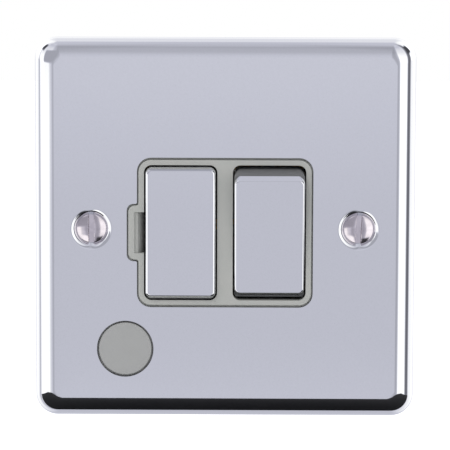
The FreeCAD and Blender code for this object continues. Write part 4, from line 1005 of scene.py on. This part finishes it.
# Boards off the horizon: the middle and the half width of each, in degrees to the right and up,
# and its share
BOARDS = (
    ((-36, 19), (28, 20), 0.68),
    ((28, -43), (16, 15), 0.08),
    ((-24, -38), (14, 16), 1.9),
    ((-96, 44), (13, 11), 0.12),
    ((92, 40), (16, 14), 0.12),
)
BOARD_EDGE = math.radians(4)


def board_mask(tree, angle, middle, half):
    """1 within half an angle of the middle, 0 outside, with a soft edge."""
    away = math_node(tree, "ABSOLUTE", math_node(tree, "SUBTRACT", angle, math.radians(middle)))
    return add_node(
        tree,
        "ShaderNodeMapRange",
        {
            "Value": away,
            "From Min": math.radians(half) - BOARD_EDGE,
            "From Max": math.radians(half) + BOARD_EDGE,
            "To Min": 1.0,
            "To Max": 0.0,
        },
        interpolation_type="SMOOTHSTEP",
    ).outputs["Result"]


def studio_world():
    """A soft studio: white to the eye, with brighter and darker boards for the chrome to mirror."""
    world = bpy.data.worlds.new("studio")
    bpy.context.scene.world = world
    world.use_nodes = True
    tree = world.node_tree
    tree.nodes.clear()
    way = add_node(tree, "ShaderNodeTexCoord").outputs["Generated"]
    split = add_node(tree, "ShaderNodeSeparateXYZ", {"Vector": way})
    x, y, z = (split.outputs[axis] for axis in "XYZ")
    height = math_node(tree, "ARCSINE", z)
    turn = math_node(tree, "ARCTAN2", x, math_node(tree, "MULTIPLY", y, -1.0))
    ahead = math_node(tree, "LESS_THAN", y, 0.0)
    behind = math_node(tree, "SUBTRACT", math.pi, height)
    over = add_node(
        tree, "ShaderNodeMix", {0: ahead, 2: behind, 3: height}, data_type="FLOAT"
    ).outputs[0]
    level = math_node(tree, "COSINE", height)
    rest = math_node(tree, "SUBTRACT", curve_of(tree, turn, ROUND_STOPS), 1.0)
    round_share = math_node(tree, "MULTIPLY_ADD", rest, level, 1.0)
    share = math_node(tree, "MULTIPLY", round_share, curve_of(tree, over, OVER_STOPS))
    for (right, up), (half_right, half_up), tone in BOARDS:
        mask = math_node(
            tree,
            "MULTIPLY",
            board_mask(tree, turn, right, half_right),
            board_mask(tree, height, up, half_up),
        )
        share = add_node(
            tree, "ShaderNodeMix", {0: mask, 2: share, 3: tone}, data_type="FLOAT"
        ).outputs[0]
    whiteness = add_node(
        tree,
        "ShaderNodeMapRange",
        {"Value": share, "From Min": TINT_FADES[0], "From Max": TINT_FADES[1]},
    ).outputs["Result"]
    tone = mixed(tree, whiteness, AHEAD_TINT, WHITE)
    strength = math_node(tree, "MULTIPLY", share, AHEAD)
    path = add_node(tree, "ShaderNodeLightPath")
    studio = add_node(tree, "ShaderNodeBackground", {"Color": tone, "Strength": strength})
    white = add_node(tree, "ShaderNodeBackground", {"Color": WHITE, "Strength": 1.0})
    choice = add_node(
        tree,
        "ShaderNodeMixShader",
        {0: path.outputs["Is Camera Ray"], 1: studio.outputs[0], 2: white.outputs[0]},
    )
    add_node(tree, "ShaderNodeOutputWorld", {"Surface": choice.outputs[0]})


# The floor, and the black card below the plate that its lower edge mirrors, in metres
FLOOR_REACH = 3.0
CARD_HALF_WIDTH = 0.07
CARD_NEAR, CARD_FAR = -0.036, -0.0053
CARD_HEIGHT = -0.0445


def level_corners(half_width, near, far, height):
    """The corners of a level rectangle, in metres."""
    return [
        (-half_width, near, height),
        (half_width, near, height),
        (half_width, far, height),
        (-half_width, far, height),
    ]


def black_card():
    """Matt black card, which chrome mirrors as a dark band."""
    material = bpy.data.materials.new("black_card")
    material.use_nodes = True
    shader = material.node_tree.nodes["Principled BSDF"]
    shader.inputs["Base Color"].default_value = linear("#101012")
    shader.inputs["Roughness"].default_value = 0.9
    return material


class SPUR_OT_stage(bpy.types.Operator):
    """Adds the floor, backdrop, lamps and camera"""

    bl_idname = "spur.stage"
    bl_label = "Stage"

    def execute(self, context):
        drop = -context.scene.spur_unit.floor_drop
        ground = level_corners(FLOOR_REACH, -FLOOR_REACH, FLOOR_REACH, drop)
        floor = flat_mesh("floor", ground, studio_white("white_board", 0.4))
        floor.visible_glossy = False
        shade = level_corners(CARD_HALF_WIDTH, CARD_NEAR, CARD_FAR, CARD_HEIGHT)
        flag = flat_mesh("black_flag", shade, black_card())
        flag.visible_camera = False
        flag.visible_shadow = False
        flag.visible_diffuse = False
        studio_world()
        key = area_light(
            "key",
            place=(-0.5, -0.8, 0.9),
            aim=(0, 0, 0),
            size=(0.6, 0.6),
            power=6.0,
            colour=(1.0, 0.985, 0.96),
        )
        key.visible_glossy = False
        place_camera()
        return {"FINISHED"}


# The camera: its focal length and the picture's width in pixels, how far away it stands in
# metres, its angles above, aside and about its own axis, and the point that it looks at
FOCAL_PIXELS = 2663
PICTURE_PIXELS = 450
SENSOR_WIDTH = 36.0
CAMERA_DISTANCE = 0.6
CAMERA_ABOVE = math.radians(6.0)
CAMERA_ASIDE = math.radians(-0.2)
CAMERA_ROLL = math.radians(0.19)
CAMERA_AIM = Vector((0, -0.0065, 0.00099))


def place_camera():
    """A long lens straight in front, a little above the unit."""
    lens = bpy.data.cameras.new("photo_view")
    lens.sensor_width = SENSOR_WIDTH
    lens.lens = FOCAL_PIXELS / PICTURE_PIXELS * SENSOR_WIDTH
    level = math.cos(CAMERA_ABOVE)
    back = Vector(
        (
            -math.sin(CAMERA_ASIDE) * level,
            -math.cos(CAMERA_ASIDE) * level,
            math.sin(CAMERA_ABOVE),
        )
    )
    camera = bpy.data.objects.new("photo_view", lens)
    camera.location = CAMERA_AIM + back * CAMERA_DISTANCE
    turn = (-back).to_track_quat("-Z", "Y").to_matrix() @ Matrix.Rotation(CAMERA_ROLL, 3, "Z")
    camera.rotation_euler = turn.to_euler()
    bpy.context.scene.collection.objects.link(camera)
    bpy.context.scene.camera = camera


class SPUR_PT_panel(bpy.types.Panel):
    """Lists the sizes, the colours and the operators"""

    bl_label = "Spur Unit"
    bl_space_type = "VIEW_3D"
    bl_region_type = "UI"
    bl_category = "Spur Unit"

    def draw(self, context):
        for group, kind in SETTINGS.items():
            for name in kind.__annotations__:
                self.layout.prop(getattr(context.scene, group), name)
        for operator in OPERATORS:
            self.layout.operator(operator.bl_idname)


SETTINGS = {
    "spur_unit": SpurUnitSettings,
    "spur_plate": PlateSettings,
    "spur_caps": CapSettings,
    "spur_screws": ScrewSettings,
}
OPERATORS = (
    SPUR_OT_finishes,
    SPUR_OT_front_plate,
    SPUR_OT_carrier_cap,
    SPUR_OT_rocker_cap,
    SPUR_OT_fixing_screws,
    SPUR_OT_outlet_blank,
    SPUR_OT_stage,
)
CLASSES = (*SETTINGS.values(), *OPERATORS, SPUR_PT_panel)


def register():
    for item in CLASSES:
        bpy.utils.register_class(item)
    for group, settings in SETTINGS.items():
        setattr(bpy.types.Scene, group, bpy.props.PointerProperty(type=settings))


def unregister():
    for group in SETTINGS:
        delattr(bpy.types.Scene, group)
    for item in reversed(CLASSES):
        bpy.utils.unregister_class(item)


def main():
    """Builds the dressed unit."""
    register()
    bpy.context.scene.view_settings.view_transform = "Standard"
    bpy.ops.spur.finishes()
    bpy.ops.spur.front_plate()
    bpy.ops.spur.carrier_cap()
    bpy.ops.spur.rocker_cap()
    bpy.ops.spur.fixing_screws()
    bpy.ops.spur.outlet_blank()
    bpy.ops.spur.stage()


if __name__ == "__main__":
    main()
